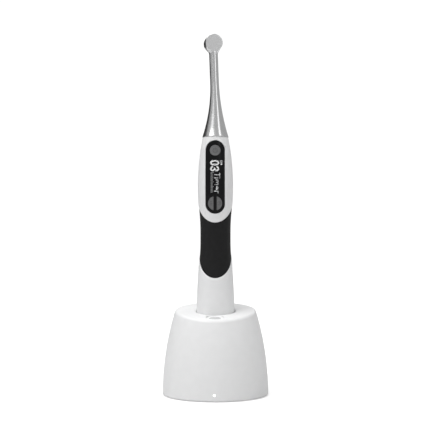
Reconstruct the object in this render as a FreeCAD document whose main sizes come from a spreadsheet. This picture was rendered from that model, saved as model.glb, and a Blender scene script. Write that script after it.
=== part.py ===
import FreeCAD, Part
import math
import os
import Sketcher

# A pen-style dental curing light standing in its charging cradle, in millimetres.
# +Z is up, the display faces -Y, and the origin is the middle of the cradle's underside.

os.makedirs("parts", exist_ok=True)
doc = FreeCAD.newDocument("curing_light")
Vector = FreeCAD.Vector
X_AXIS, Y_AXIS, Z_AXIS = Vector(1, 0, 0), Vector(0, 1, 0), Vector(0, 0, 1)

# ---------------------------------------------------------------- driving dimensions

DIMENSIONS = {
    # handpiece outline: heights, and the radius at each of them
    "tail_end_z": 27.0, "tail_end_radius": 11.6,
    "tail_wide_z": 60.0, "tail_wide_radius": 12.85, "tail_curve": 690.0,
    "flare_z": 93.6, "flare_radius": 10.9,
    "waist_low_z": 103.0, "waist_high_z": 109.0, "waist_radius": 10.5,
    "shoulder_z": 123.0, "shoulder_radius": 11.14,
    "belly_z": 141.5, "belly_radius": 12.0,
    "seam_z": 174.65, "seam_radius": 8.7,
    "grip_inset": 0.25, "seam_gap": 0.3,
    # where the soft grip begins and ends: slanted planes, given on the axis
    "grip_top_z": 128.7, "grip_top_slope": 51.0,
    "grip_bottom_z": 92.6, "grip_bottom_slope": 50.4,
    # inner tube, battery and walls
    "tube_radius": 8.95, "tube_wall": 0.55, "tube_low_z": 41.0, "tube_high_z": 123.0,
    "slip_gap": 0.05, "casing_wall": 1.5, "plug_clearance": 0.1, "seal_thickness": 0.9,
    "battery_radius": 8.25, "battery_low_z": 48.0, "battery_length": 65.0,
    "battery_edge": 0.5, "battery_button": 2.6, "battery_button_height": 1.5,
    "contact_thickness": 0.4, "top_contact_radius": 3.0, "bottom_contact_radius": 5.0,
    "cap_height": 4.0, "plug_height": 5.0, "plug_wall": 1.2, "plug_floor": 1.0,
    "plug_ring": 2.2, "plug_ring_width": 1.2,
    "charge_board_radius": 6.6, "charge_board_thickness": 1.2, "charge_board_rise": 2.2,
    # window, buttons, display
    "window_width": 12.8, "window_height": 49.3, "window_middle_z": 146.95,
    "window_thickness": 1.0, "window_ledge": 0.9,
    "power_z": 164.7, "power_radius": 3.8,
    "pair_z": 129.2, "pair_radius": 4.98, "pair_half_gap": 0.93,
    "pane_clearance": 0.03, "button_offset": 2.74,
    "button_gap": 0.12, "button_proud": 0.2, "button_lip": 0.35, "button_back_y": 6.9,
    "button_lip_drop": 0.15, "plunger_radius": 0.8, "plunger_length": 1.0,
    "display_width": 9.0, "display_height": 21.0, "display_front_y": 8.8,
    "display_thickness": 3.8, "display_z": 147.3,
    # control board, what is soldered to it and the screws that hold it
    "board_front_y": 5.0, "board_thickness": 1.0, "board_width": 10.0,
    "board_low_z": 123.0, "board_high_z": 167.4,
    "switch_size": 3.2, "switch_height": 1.2, "switch_hole_radius": 0.9,
    "switch_hole_depth": 1.0,
    "chip_size": 6.0, "chip_height": 1.0, "chip_z": 150.0,
    "buzzer_radius": 3.2, "buzzer_height": 1.9, "buzzer_z": 141.0, "sound_hole": 0.6,
    "board_screw_x": 3.6, "board_screw_high_z": 160.2, "board_screw_low_z": 134.0,
    "board_screw_radius": 0.7, "board_screw_length": 2.6, "board_screw_hole": 0.8,
    "board_screw_head": 1.25, "board_screw_head_height": 0.7, "driver_slot": 0.3,
    "bracket_width": 8.4, "bracket_thickness": 1.4, "bracket_height": 43.5,
    "post_radius": 1.2, "post_length": 2.2, "post_hole": 0.72,
    "lid_drop": 6.0, "lid_thickness": 1.5, "lid_hole": 2.0,
    # swivel joint
    "collar_low_z": 170.2, "hub_radius": 4.5, "hub_clearance": 0.05, "hub_low_z": 168.4,
    "hub_flange_radius": 6.4, "hub_flange_height": 3.0, "wire_bore": 1.9,
    "clip_z": 169.2, "clip_thickness": 0.7, "clip_outer": 5.6, "clip_groove": 3.9,
    "clip_fit": 0.05, "clip_slack": 0.02, "clip_mouth": 3.0, "hub_step": 0.3,
    "hub_wall": 0.5, "swivel_ring_z": 172.4, "swivel_ring_width": 1.0,
    "swivel_ring_groove": 3.55, "swivel_ring_thickness": 0.9, "swivel_ring_fit": 0.01,
    # neck and head
    "neck_radius": 3.0, "skirt_curve": 127.0, "skirt_end_z": 213.0,
    "lean_z": 195.0, "lean_angle": 11.5, "lean_curve": 150.0, "head_turn": 11.5,
    "head_z": 241.0, "head_radius": 5.9, "head_face_y": 5.0, "head_depth": 8.2,
    "head_wall": 1.1, "paddle_end_z": 232.5, "paddle_half_width": 2.9,
    "paddle_curve": 9.0, "paddle_depth": 6.6, "paddle_join": 0.74,
    # lamp in the head, from its floor outwards, and its wires
    "lamp_board_thickness": 1.0, "lamp_fit": 0.05, "wire_notch": 3.0,
    "carrier_size": 4.4, "carrier_height": 0.4, "die_size": 1.8, "die_height": 0.5,
    "die_step": 1.05, "reflector_depth": 3.9, "reflector_throat": 3.2,
    "reflector_rim": 0.5, "lens_thickness": 1.6, "lens_curve": 12.0, "lens_fit": 0.02,
    "lens_ring_gap": 0.05, "lens_ring_thickness": 0.5, "lens_ring_width": 0.8,
    "wire_radius": 0.5, "wire_offset": 0.75,
    # cradle
    "base_radius": 35.7, "base_curve": 195.0, "base_lift": 0.5, "base_wall": 2.2,
    "top_z": 57.5, "top_angle": 8.67, "top_curve": 350.0, "top_thickness": 3.4,
    "wall_high_z": 66.0, "plug_low_z": 40.0,
    "dish_curve": 170.0, "dish_depth": 1.7,
    "opening_radius": 13.2, "cup_wall": 1.6, "cup_floor_z": 26.6, "cup_floor": 2.0,
    "cup_low_radius": 12.1, "key_width": 2.0, "key_height": 1.1, "key_top_z": 46.0,
    "key_clearance": 0.4,
    "port_y": 20.0, "port_radius": 5.75, "port_depth": 1.4, "port_window_radius": 4.0,
    "port_window_thickness": 1.2, "port_window_fit": 0.03,
    "photodiode_size": 3.0, "photodiode_drop": 6.4, "photodiode_height": 1.4,
    "sensor_board_size": 7.0, "sensor_board_drop": 7.6, "sensor_board_thickness": 1.2,
    # charging contacts
    "pin_spacing": 10.0, "pin_radius": 0.75, "pin_clearance": 0.05, "barrel_radius": 1.4,
    "pin_tip_z": 27.1, "pin_length": 5.0, "pin_tip_curve": 0.3, "barrel_drop": 0.2,
    "barrel_floor": 1.0, "block_height": 6.0, "block_depth": 8.0, "block_margin": 8.0,
    "pad_radius": 2.0, "pad_z": 27.2, "pad_thickness": 1.3, "pad_fit": 0.05,
    # inside the cradle
    "plate_z": 1.3, "plate_thickness": 2.0, "plate_gap": 0.3,
    "foot_radius": 4.0, "foot_circle": 22.0,
    "screw_circle": 30.4, "boss_radius": 3.6, "boss_height": 12.0, "screw_radius": 1.2,
    "screw_bite": 0.03, "screw_play": 0.2,
    "screw_head": 2.4, "screw_head_height": 1.0, "screw_length": 9.0,
    "screw_recess": 1.2, "screw_recess_depth": 0.7, "foot_edge": 0.4,
    "ballast_outer": 26.0, "ballast_inner": 9.0, "ballast_height": 2.7,
    "base_board_radius": 25.0, "base_board_z": 7.0, "base_board_thickness": 1.6,
    "board_tab_start": 20.0, "inlet_overhang": 2.6, "lamp_tab_end": 31.2,
    "lamp_tab_width": 5.0,
    "lamp_z": 4.5, "lamp_radius": 0.8, "lamp_y": 31.0, "lamp_width": 2.0,
    "lamp_depth": 1.4, "lamp_rise": 0.9,
    "inlet_width": 8.94, "inlet_height": 3.26, "inlet_depth": 8.3, "inlet_y": 35.2,
    "inlet_wall": 0.3, "inlet_floor": 0.6, "inlet_gap": 0.15,
    "tongue_width": 6.7, "tongue_thickness": 0.7, "tongue_short": 1.2,
}

sheet = doc.addObject("Spreadsheet::Sheet", "Sizes")
for row, (alias, value) in enumerate(DIMENSIONS.items(), start=1):
    sheet.set("A%d" % row, str(value))
    sheet.setAlias("A%d" % row, alias)
doc.recompute()

# How far cutting tools run past the pieces that they cut.
OVERSHOOT = 20
CUT_REACH = 30
CUT_LOW, CUT_HIGH = -200, 400


class Size:
    """A number together with the expression that works it out from the sheet."""

    def __init__(self, value, text):
        self.value = value
        self.text = text

    def join(self, other, sign, flipped=False):
        first, second = (as_size(other), self) if flipped else (self, as_size(other))
        results = {
            "+": first.value + second.value,
            "-": first.value - second.value,
            "*": first.value * second.value,
            "/": first.value / second.value if second.value else 0.0,
        }
        return Size(results[sign], "(%s %s %s)" % (first.text, sign, second.text))

    def __add__(self, other):
        return self.join(other, "+")

    def __radd__(self, other):
        return self.join(other, "+", flipped=True)

    def __sub__(self, other):
        return self.join(other, "-")

    def __rsub__(self, other):
        return self.join(other, "-", flipped=True)

    def __mul__(self, other):
        return self.join(other, "*")

    def __rmul__(self, other):
        return self.join(other, "*", flipped=True)

    def __truediv__(self, other):
        return self.join(other, "/")

    def __neg__(self):
        return self.join(-1, "*")


def as_size(number):
    return number if isinstance(number, Size) else Size(float(number), repr(float(number)))


def number(size):
    return size.value if isinstance(size, Size) else float(size)


def root(size):
    return Size(math.sqrt(size.value), "sqrt(%s)" % size.text)


def tangent(degrees):
    return Size(math.tan(math.radians(degrees.value)), "tan(%s)" % degrees.text)


class Sheet:
    """Gives every alias of the spreadsheet as a Size."""

    def __getattr__(self, alias):
        return Size(float(sheet.get(alias)), "Sizes.%s" % alias)


s = Sheet()

# ---------------------------------------------------------------- drawing helpers


def bind(thing, path, size):
    """Binds a property to the sheet, or sets it where the size is a plain number."""
    if isinstance(size, Size):
        thing.setExpression(path, size.text)
    else:
        setattr(thing, path, size)


def place(thing, x=0, y=0, z=0, axis=Z_AXIS, angle=0):
    thing.Placement = FreeCAD.Placement(
        Vector(number(x), number(y), number(z)), FreeCAD.Rotation(axis, number(angle))
    )
    for path, size in (("x", x), ("y", y), ("z", z)):
        if isinstance(size, Size):
            thing.setExpression("Placement.Base.%s" % path, size.text)
    if isinstance(angle, Size):
        thing.setExpression("Placement.Rotation.Angle", angle.text)
    return thing


def new_sketch(body, plane_role, offset=0):
    """A sketch on one of the body's own origin planes, moved along the plane's normal."""
    sketch = body.newObject("Sketcher::SketchObject", body.Name + "_sketch")
    plane = [f for f in body.Origin.OriginFeatures if f.Role == plane_role][0]
    sketch.AttachmentSupport = (plane, [""])
    sketch.MapMode = "FlatFace"
    if isinstance(offset, Size):
        sketch.setExpression("AttachmentOffset.Base.z", offset.text)
    else:
        sketch.AttachmentOffset = FreeCAD.Placement(Vector(0, 0, offset), FreeCAD.Rotation())
    return sketch


def pin_point(sketch, geometry, position, x, y):
    """Fixes one point of a sketch at its two distances from the origin."""
    for kind, size in (("DistanceX", x), ("DistanceY", y)):
        index = sketch.addConstraint(
            Sketcher.Constraint(kind, -1, 1, geometry, position, number(size))
        )
        if isinstance(size, Size):
            sketch.setExpression("Constraints[%d]" % index, size.text)


def pin_radius(sketch, geometry, size):
    index = sketch.addConstraint(Sketcher.Constraint("Radius", geometry, number(size)))
    if isinstance(size, Size):
        sketch.setExpression("Constraints[%d]" % index, size.text)


def pin_arc(sketch, geometry, start, end, radius):
    """Fixes an arc between two pinned points: a half circle by its centre."""
    wide = abs(number(end[0]) - number(start[0]))
    tall = abs(number(end[1]) - number(start[1]))
    if abs(math.hypot(wide, tall) - 2 * number(radius)) > 1e-6:
        pin_radius(sketch, geometry, radius)
        return
    kind, size = ("DistanceY", start[1]) if wide > tall else ("DistanceX", start[0])
    index = sketch.addConstraint(
        Sketcher.Constraint(kind, -1, 1, geometry, 3, number(size))
    )
    if isinstance(size, Size):
        sketch.setExpression("Constraints[%d]" % index, size.text)


def middle_of_arc(start, end, radius):
    """The middle point of an arc that bends left for a radius above zero, else right."""
    chord = end - start
    sagitta = abs(radius) - math.sqrt(max(radius * radius - chord.Length**2 / 4, 0))
    side = Vector(chord.y, -chord.x, 0).normalize() * (1 if radius > 0 else -1)
    return (start + end) * 0.5 + side * sagitta


def draw_outline(sketch, points):
    """Draws a closed outline from (x, y) and (x, y, radius, bend) entries.

    A radius makes the edge that arrives at the point an arc, and bend is 1 where it
    turns left on its way and -1 where it turns right.
    """
    places = [Vector(number(p[0]), number(p[1]), 0) for p in points]
    first = sketch.GeometryCount
    ends = []
    for i, point in enumerate(points):
        start, end = places[i - 1], places[i]
        if len(point) == 2:
            sketch.addGeometry(Part.LineSegment(start, end), False)
            ends.append((1, 2))
        else:
            middle = middle_of_arc(start, end, number(point[2]) * point[3])
            sketch.addGeometry(Part.Arc(start, middle, end), False)
            ends.append((1, 2) if point[3] > 0 else (2, 1))
    for i, point in enumerate(points):
        following = (i + 1) % len(points)
        sketch.addConstraint(
            Sketcher.Constraint(
                "Coincident", first + i, ends[i][1], first + following, ends[following][0]
            )
        )
        pin_point(sketch, first + i, ends[i][1], point[0], point[1])
        if len(point) == 4:
            pin_arc(sketch, first + i, points[i - 1], point, point[2])
    return sketch


def new_body(label):
    return doc.addObject("PartDesign::Body", label)


def turn(body, points, cut=False):
    """Revolves an outline of (radius, height) points about the body's Z axis."""
    sketch = draw_outline(new_sketch(body, "XZ_Plane"), points)
    kind = "PartDesign::Groove" if cut else "PartDesign::Revolution"
    feature = body.newObject(kind, body.Name + "_turn")
    feature.Profile = sketch
    feature.ReferenceAxis = (sketch, ["V_Axis"])
    feature.Angle = 360
    if cut:
        must_cut(body, feature)
    return body


def must_cut(body, feature):
    """A pocket or groove has to take volume away."""
    doc.recompute()
    if feature.Shape.Volume >= feature.BaseFeature.Shape.Volume:
        raise SystemExit("a pocket or groove cuts nothing in " + body.Label)


def extrude(body, sketch, length, cut=False, both=False, back=False):
    """Pads or pockets a sketch."""
    kind = "PartDesign::Pocket" if cut else "PartDesign::Pad"
    feature = body.newObject(kind, body.Name + "_extrude")
    feature.Profile = sketch
    feature.Type = "Length"
    bind(feature, "Length", length)
    if both:
        feature.SideType = "Symmetric"
    feature.Reversed = back
    if cut:
        must_cut(body, feature)
    return body


def cylinder(label, radius, height):
    thing = doc.addObject("Part::Cylinder", label)
    bind(thing, "Radius", radius)
    bind(thing, "Height", height)
    return thing


def box(label, x, y, z, width, depth, height):
    """A box centred on x, with its near corner at y and z."""
    x, y, z, width = as_size(x), as_size(y), as_size(z), as_size(width)
    thing = doc.addObject("Part::Box", label)
    bind(thing, "Length", width)
    bind(thing, "Width", depth)
    bind(thing, "Height", height)
    return place(thing, x - width / 2, y, z)


def boolean(kind, label, first, second):
    thing = doc.addObject("Part::" + kind, label)
    thing.Base = first
    thing.Tool = second
    return thing


def cut(label, first, *others):
    for i, other in enumerate(others):
        name = label if i == len(others) - 1 else "%s_step%d" % (label, i)
        first = boolean("Cut", name, first, other)
    return first


def fuse(label, *things):
    thing = doc.addObject("Part::MultiFuse", label)
    thing.Shapes = list(things)
    return thing


def common(label, first, second):
    return boolean("Common", label, first, second)


def towards_front(thing, x, y, z):
    """Lays a cylinder along -Y, starting y in front of the axis."""
    return place(thing, x, -y, z, X_AXIS, 90)


nodes = []


def node(thing):
    """Files an object as a finished sub-part of the curing light."""
    nodes.append(thing)
    return thing


# ---------------------------------------------------------------- handpiece outline


def vertical_end_curve(radius_a, z_a, radius_b, z_b):
    """Radius of an arc between two outline points that is upright at one of them."""
    rise = z_a - z_b
    run = radius_a - radius_b
    return (rise * rise + run * run) / (2 * run)


def outline_points(offset):
    """The handpiece's outer outline from its end up to the seam, moved outwards."""
    upper = vertical_end_curve(s.belly_radius, s.seam_z, s.seam_radius, s.belly_z)
    lower = vertical_end_curve(s.belly_radius, s.belly_z, s.shoulder_radius, s.shoulder_z)
    upper_waist = vertical_end_curve(
        s.shoulder_radius, s.shoulder_z, s.waist_radius, s.waist_high_z
    )
    lower_waist = vertical_end_curve(s.flare_radius, s.waist_low_z, s.waist_radius, s.flare_z)
    return [
        (0, s.seam_z),
        (0, s.tail_end_z),
        (s.tail_end_radius + offset, s.tail_end_z),
        (s.tail_wide_radius + offset, s.tail_wide_z, s.tail_curve, 1),
        (s.flare_radius + offset, s.flare_z, s.tail_curve, 1),
        (s.waist_radius + offset, s.waist_low_z, lower_waist, -1),
        (s.waist_radius + offset, s.waist_high_z),
        (s.shoulder_radius + offset, s.shoulder_z, upper_waist, -1),
        (s.belly_radius + offset, s.belly_z, lower, 1),
        (s.seam_radius + offset, s.seam_z, upper, 1),
    ]


def handpiece_solid(label, offset=0):
    return turn(new_body(label), outline_points(offset))


def slanted_plane(z, slope):
    """Heights of a slanted plane well in front of the axis and well behind it."""
    rise = tangent(slope) * CUT_REACH
    return z - rise, z + rise


def side_view(low, high):
    """Outline, seen from the side, between a lower and an upper slanted plane."""
    return [
        (-CUT_REACH, low[0]),
        (CUT_REACH, low[1]),
        (CUT_REACH, high[1]),
        (-CUT_REACH, high[0]),
    ]


def cut_side_view(body, low, high):
    """Cuts away everything between two slanted planes."""
    sketch = draw_outline(new_sketch(body, "YZ_Plane"), side_view(low, high))
    return extrude(body, sketch, 3 * CUT_REACH, cut=True, both=True)


def stadium(label, width, height, z, length):
    """An upright stadium, reaching forwards from the handpiece's axis."""
    half = width / 2
    straight = height / 2 - half
    points = [
        (half, z + straight),
        (-half, z + straight, half, 1),
        (-half, z - straight),
        (half, z - straight, half, 1),
    ]
    body = new_body(label)
    return extrude(body, draw_outline(new_sketch(body, "XZ_Plane"), points), length)


def button_tool(label, radius, z):
    """A cylinder that crosses the casing wall at a button."""
    return towards_front(cylinder(label, radius, OVERSHOOT), 0, s.button_back_y, z)


def half_disc(label, side, grow):
    """Half of the lower button pair's disc, on one side of its upright gap."""
    disc = button_tool(label + "_disc", s.pair_radius + grow, s.pair_z)
    inner_edge = s.pair_half_gap - grow
    width = s.pair_radius + grow + 1 - inner_edge
    middle = side * (inner_edge + width / 2)
    low = s.pair_z - s.pair_radius - 2
    block = box(
        label + "_block",
        middle,
        -(s.button_back_y + OVERSHOOT),
        low,
        width,
        OVERSHOOT,
        2 * (s.pair_z - low),
    )
    return common(label, disc, block)


def window_block(label, grow):
    """The window's outline, grown on every side, from the axis forwards."""
    width, height = s.window_width + 2 * grow, s.window_height + 2 * grow
    return stadium(label, width, height, s.window_middle_z, OVERSHOOT)


# ---------------------------------------------------------------- handpiece


def make_casing_parts():
    """Gloss casing with its window, and the round and half-moon buttons in it."""
    shell = handpiece_solid("upper_casing_shell")
    grip_top = slanted_plane(s.grip_top_z, s.grip_top_slope)
    cut_side_view(shell, (CUT_LOW, CUT_LOW), grip_top)
    wall = s.casing_wall
    tube_fit = s.tube_radius + s.slip_gap
    hub_fit = s.hub_radius + s.hub_clearance
    inside = [
        (0, s.waist_low_z),
        (tube_fit, s.waist_low_z),
        (tube_fit, s.tube_high_z + 1),
        (s.belly_radius - wall - 0.3, s.tube_high_z + 6),
        (s.belly_radius - wall, s.belly_z),
        (s.belly_radius - wall - 0.45, s.belly_z + 12),
        (s.seam_radius - wall + 0.3, s.collar_low_z),
        (hub_fit, s.collar_low_z),
        (hub_fit, s.seam_z + OVERSHOOT),
        (0, s.seam_z + OVERSHOOT),
    ]
    turn(shell, inside, cut=True)
    seat_block = window_block("window_seat_block", s.pane_clearance)
    seat_core = handpiece_solid("window_seat_core", -s.window_thickness - s.pane_clearance)
    seat = cut("window_seat", seat_block, seat_core)
    hole = window_block("window_hole", -s.window_ledge)
    node(cut("upper_casing", shell, seat, hole))

    pane = common("window_pane", window_block("window_block", 0), handpiece_solid("window_outside"))
    core = handpiece_solid("window_core", -s.window_thickness)
    power_hole = button_tool("power_hole", s.power_radius + s.button_gap, s.power_z)
    left_hole = half_disc("mode_hole", -1, s.button_gap)
    right_hole = half_disc("time_hole", 1, s.button_gap)
    node(cut("display_window", pane, core, power_hole, left_hole, right_hole))

    proud = handpiece_solid("button_outside", s.button_proud)
    under_pane = handpiece_solid("button_lip_outside", -s.window_thickness - s.button_lip_drop)
    power_head = button_tool("power_head_block", s.power_radius, s.power_z)
    power_lip = button_tool("power_lip_block", s.power_radius + s.button_lip, s.power_z)
    buttons = [("power_button", power_head, power_lip, 0, s.power_z)]
    for label, side in (("mode_button", -1), ("time_button", 1)):
        head = half_disc(label + "_head_block", side, as_size(0))
        lip = half_disc(label + "_lip_block", side, s.button_lip)
        buttons.append((label, head, lip, side * s.button_offset, s.pair_z))
    for label, head_block, lip_block, x, z in buttons:
        head = common(label + "_head", head_block, proud)
        lip = common(label + "_lip", lip_block, under_pane)
        plunger = cylinder(label + "_plunger", s.plunger_radius, s.plunger_length)
        towards_front(plunger, x, s.button_back_y - s.plunger_length, z)
        node(fuse(label, head, lip, plunger))


def board_screw_places():
    return (-s.board_screw_x, s.board_screw_high_z), (s.board_screw_x, s.board_screw_low_z)


def make_electronics():
    """Display, control board, switches and small parts behind the window."""
    display = box(
        "display_module",
        0,
        -s.display_front_y,
        s.display_z - s.display_height / 2,
        s.display_width,
        s.display_thickness,
        s.display_height,
    )
    node(display)
    board = box(
        "control_board_blank",
        0,
        -s.board_front_y,
        s.board_low_z,
        s.board_width,
        s.board_thickness,
        s.board_high_z - s.board_low_z,
    )
    back = s.board_front_y - s.board_thickness
    holes = []
    for i, (x, z) in enumerate(board_screw_places()):
        hole = cylinder("board_hole_%d" % (i + 1), s.board_screw_hole, 3 * s.board_thickness)
        holes.append(towards_front(hole, x, back - s.board_thickness, z))
    node(cut("control_board", board, *holes))
    for i, (x, z) in enumerate(board_screw_places()):
        name = "board_screw_%d" % (i + 1)
        shank = cylinder(name + "_shank", s.board_screw_radius, s.board_screw_length)
        towards_front(shank, x, s.board_front_y - s.board_screw_length, z)
        head = cylinder(name + "_head", s.board_screw_head, s.board_screw_head_height)
        towards_front(head, x, s.board_front_y, z)
        slot = box(
            name + "_slot",
            x,
            -s.board_front_y - s.board_screw_head_height - s.driver_slot / 2,
            z - s.driver_slot / 2,
            3 * s.board_screw_head,
            1.5 * s.driver_slot,
            s.driver_slot,
        )
        node(cut(name, fuse(name + "_body", shank, head), slot))
    places = (
        ("power_switch", 0, s.power_z),
        ("mode_switch", -s.button_offset, s.pair_z),
        ("time_switch", s.button_offset, s.pair_z),
    )
    for label, x, z in places:
        block = box(
            label + "_block",
            x,
            -s.board_front_y - s.switch_height,
            z - s.switch_size / 2,
            s.switch_size,
            s.switch_height,
            s.switch_size,
        )
        hole = cylinder(label + "_hole", s.switch_hole_radius, 2 * s.switch_height)
        depth = s.board_front_y + s.switch_height - s.switch_hole_depth
        node(cut(label, block, towards_front(hole, x, depth, z)))
    node(box("processor_chip", 0, -back, s.chip_z, s.chip_size, s.chip_height, s.chip_size))
    buzzer = cylinder("buzzer_can", s.buzzer_radius, s.buzzer_height)
    place(buzzer, 0, -back, s.buzzer_z, X_AXIS, -90)
    sound_hole = cylinder("buzzer_hole", s.sound_hole, 2 * s.buzzer_height)
    place(sound_hole, 0, s.driver_slot - back, s.buzzer_z, X_AXIS, -90)
    node(cut("buzzer", buzzer, sound_hole))


def make_tube_and_battery():
    """Inner tube that carries the battery, with a bracket behind the board."""
    inner = s.tube_radius - s.tube_wall
    tube = turn(
        new_body("inner_tube_body"),
        [
            (inner, s.tube_low_z),
            (s.tube_radius, s.tube_low_z),
            (s.tube_radius, s.tube_high_z),
            (inner, s.tube_high_z),
        ],
    )
    lid_low = s.tube_high_z - s.lid_drop
    lid_high = lid_low + s.lid_thickness
    lid = turn(
        new_body("inner_tube_lid"),
        [
            (s.lid_hole, lid_low),
            (s.tube_radius, lid_low),
            (s.tube_radius, lid_high),
            (s.lid_hole, lid_high),
        ],
    )
    board_back = s.board_front_y - s.board_thickness
    bracket = box(
        "inner_tube_bracket",
        0,
        s.post_length - board_back - s.driver_slot,
        (lid_low + lid_high) / 2,
        s.bracket_width,
        s.bracket_thickness,
        s.bracket_height,
    )
    posts = []
    holes = []
    for i, (x, z) in enumerate(board_screw_places()):
        post = cylinder("inner_tube_post_%d" % (i + 1), s.post_radius, s.post_length)
        posts.append(towards_front(post, x, board_back - s.post_length, z))
        hole = cylinder("inner_tube_screw_hole_%d" % (i + 1), s.post_hole, OVERSHOOT)
        holes.append(towards_front(hole, x, 0, z))
    whole = fuse("inner_tube_whole", tube, lid, bracket, *posts)
    node(cut("inner_tube", whole, *holes))

    low, high = s.battery_low_z, s.battery_low_z + s.battery_length
    shoulder = high - s.battery_button_height
    edge = s.battery_edge
    cell = turn(
        new_body("battery_cell"),
        [
            (0, low),
            (s.battery_radius - edge, low),
            (s.battery_radius, low + edge, edge, 1),
            (s.battery_radius, shoulder - edge),
            (s.battery_radius - edge, shoulder, edge, 1),
            (s.battery_button, shoulder),
            (s.battery_button, high),
            (0, high),
        ],
    )
    node(cell)
    top = cylinder("battery_top_contact", s.top_contact_radius, s.contact_thickness)
    node(place(top, 0, 0, high))
    bottom = cylinder("battery_bottom_contact", s.bottom_contact_radius, s.contact_thickness)
    node(place(bottom, 0, 0, low - s.contact_thickness))


def key_slot(label, high_z):
    """The upright groove at the back of the tail that the cradle's rib fits."""
    low_z = s.tail_end_z - s.cap_height
    width = s.key_width + 2 * s.key_clearance
    inner = s.cup_low_radius - s.key_height - s.key_clearance
    return box(label, 0, inner, low_z, width, s.tail_wide_radius, high_z - low_z)


def make_grip_and_tail():
    """Soft grip between its slanted edges, white tail, end cap and charging pads."""
    grip_top = slanted_plane(s.grip_top_z, s.grip_top_slope)
    grip_bottom = slanted_plane(s.grip_bottom_z, s.grip_bottom_slope)
    slab = new_body("grip_slab")
    edges = draw_outline(new_sketch(slab, "YZ_Plane"), side_view(grip_bottom, grip_top))
    extrude(slab, edges, 3 * CUT_REACH, both=True)
    sleeve = common("grip_solid", handpiece_solid("grip_outside", -s.grip_inset), slab)
    bore = s.tube_radius + s.slip_gap
    grip_bore = place(cylinder("grip_bore", bore, s.seam_z), 0, 0, s.tail_end_z)
    node(cut("grip_sleeve", sleeve, grip_bore))

    cap_top = s.tail_end_z + s.cap_height
    wide = s.tail_wide_radius + OVERSHOOT
    tail = handpiece_solid("tail_casing_shell")
    cut_side_view(tail, grip_bottom, (CUT_HIGH, CUT_HIGH))
    turn(tail, [(0, 0), (wide, 0), (wide, cap_top), (0, cap_top)], cut=True)
    turn(tail, [(0, 0), (bore, 0), (bore, s.seam_z), (0, s.seam_z)], cut=True)
    groove = key_slot("tail_casing_groove", s.key_top_z + 1.5)
    node(cut("tail_casing", tail, groove))

    cap = handpiece_solid("tail_cap_shell")
    above = s.seam_z + OVERSHOOT
    turn(cap, [(0, cap_top), (wide, cap_top), (wide, above), (0, above)], cut=True)
    plug_radius = bore - s.plug_clearance
    groove_radius = plug_radius - s.seal_thickness
    inner = plug_radius - s.plug_wall
    ring_z = cap_top + s.plug_ring
    half_ring = s.plug_ring_width / 2
    plug = turn(
        new_body("tail_cap_plug"),
        [
            (0, cap_top - 1),
            (plug_radius, cap_top - 1),
            (plug_radius, ring_z - half_ring),
            (groove_radius, ring_z - half_ring),
            (groove_radius, ring_z + half_ring),
            (plug_radius, ring_z + half_ring),
            (plug_radius, cap_top + s.plug_height),
            (inner, cap_top + s.plug_height),
            (inner, cap_top + s.plug_floor),
            (0, cap_top + s.plug_floor),
        ],
    )
    groove = key_slot("tail_cap_groove", cap_top + 0.01)
    wells = []
    for side, label in ((-1, "left"), (1, "right")):
        well = cylinder("tail_cap_well_" + label, s.pad_radius + s.pad_fit, 9)
        wells.append(place(well, side * s.pin_spacing / 2, 0, s.tail_end_z - 2))
    whole = fuse("tail_cap_whole", cap, plug)
    node(cut("tail_cap", whole, groove, *wells))
    for side, label in ((-1, "left"), (1, "right")):
        pad = cylinder("charge_pad_" + label, s.pad_radius, s.pad_thickness)
        node(place(pad, side * s.pin_spacing / 2, 0, s.pad_z))
    ring = doc.addObject("Part::Torus", "tail_seal_ring")
    bind(ring, "Radius1", groove_radius + s.seal_thickness / 2)
    bind(ring, "Radius2", s.seal_thickness / 2)
    node(place(ring, 0, 0, ring_z))
    charge_board = cylinder("charge_board", s.charge_board_radius, s.charge_board_thickness)
    node(place(charge_board, 0, 0, cap_top + s.charge_board_rise))


# ---------------------------------------------------------------- neck and head


def turned_with_head(thing):
    """Turns a finished neck or head piece about the upright axis, as the swivel does."""
    rotation = FreeCAD.Rotation(Z_AXIS, number(s.head_turn))
    thing.Placement = FreeCAD.Placement(Vector(), rotation).multiply(thing.Placement)
    return thing


def turned_result(thing):
    """The same for a piece whose own placement is still untouched."""
    return place(thing, angle=s.head_turn)


def neck_path():
    """Centre line of the neck: up the axis, a gentle bend, then leaning back."""
    lean = math.radians(number(s.lean_angle))
    tangent = number(s.lean_curve) * math.tan(lean / 2)
    corner = Vector(0, 0, number(s.lean_z))
    direction = Vector(0, math.sin(lean), math.cos(lean))
    start = Vector(0, 0, number(s.hub_low_z) - 1)
    bend_start = corner - Z_AXIS * tangent
    bend_end = corner + direction * tangent
    half = direction + Z_AXIS
    half.normalize()
    to_middle = number(s.lean_curve) * (1 / math.cos(lean / 2) - 1)
    middle = corner + Vector(0, half.z, -half.y) * to_middle
    return start, bend_start, middle, bend_end


def path_point(z):
    """Centre and direction of the neck at a height."""
    bend_start, bend_end = neck_path()[1], neck_path()[3]
    if z <= bend_start.z:
        return Vector(0, 0, z), Z_AXIS
    curve = number(s.lean_curve)
    lean = math.radians(number(s.lean_angle))
    direction = Vector(0, math.sin(lean), math.cos(lean))
    if z >= bend_end.z:
        along = (z - bend_end.z) / direction.z
        return bend_end + direction * along, direction
    angle = math.asin((z - bend_start.z) / curve)
    centre = Vector(0, curve * (1 - math.cos(angle)), z)
    return centre, Vector(0, math.sin(angle), math.cos(angle))


def neck_radius_at(z):
    """Skirt and neck radius: a hollow arc that dies away into the straight neck."""
    if z >= number(s.skirt_end_z):
        return s.neck_radius
    drop = s.skirt_end_z - z
    return s.neck_radius + s.skirt_curve - root(s.skirt_curve * s.skirt_curve - drop * drop)


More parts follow.
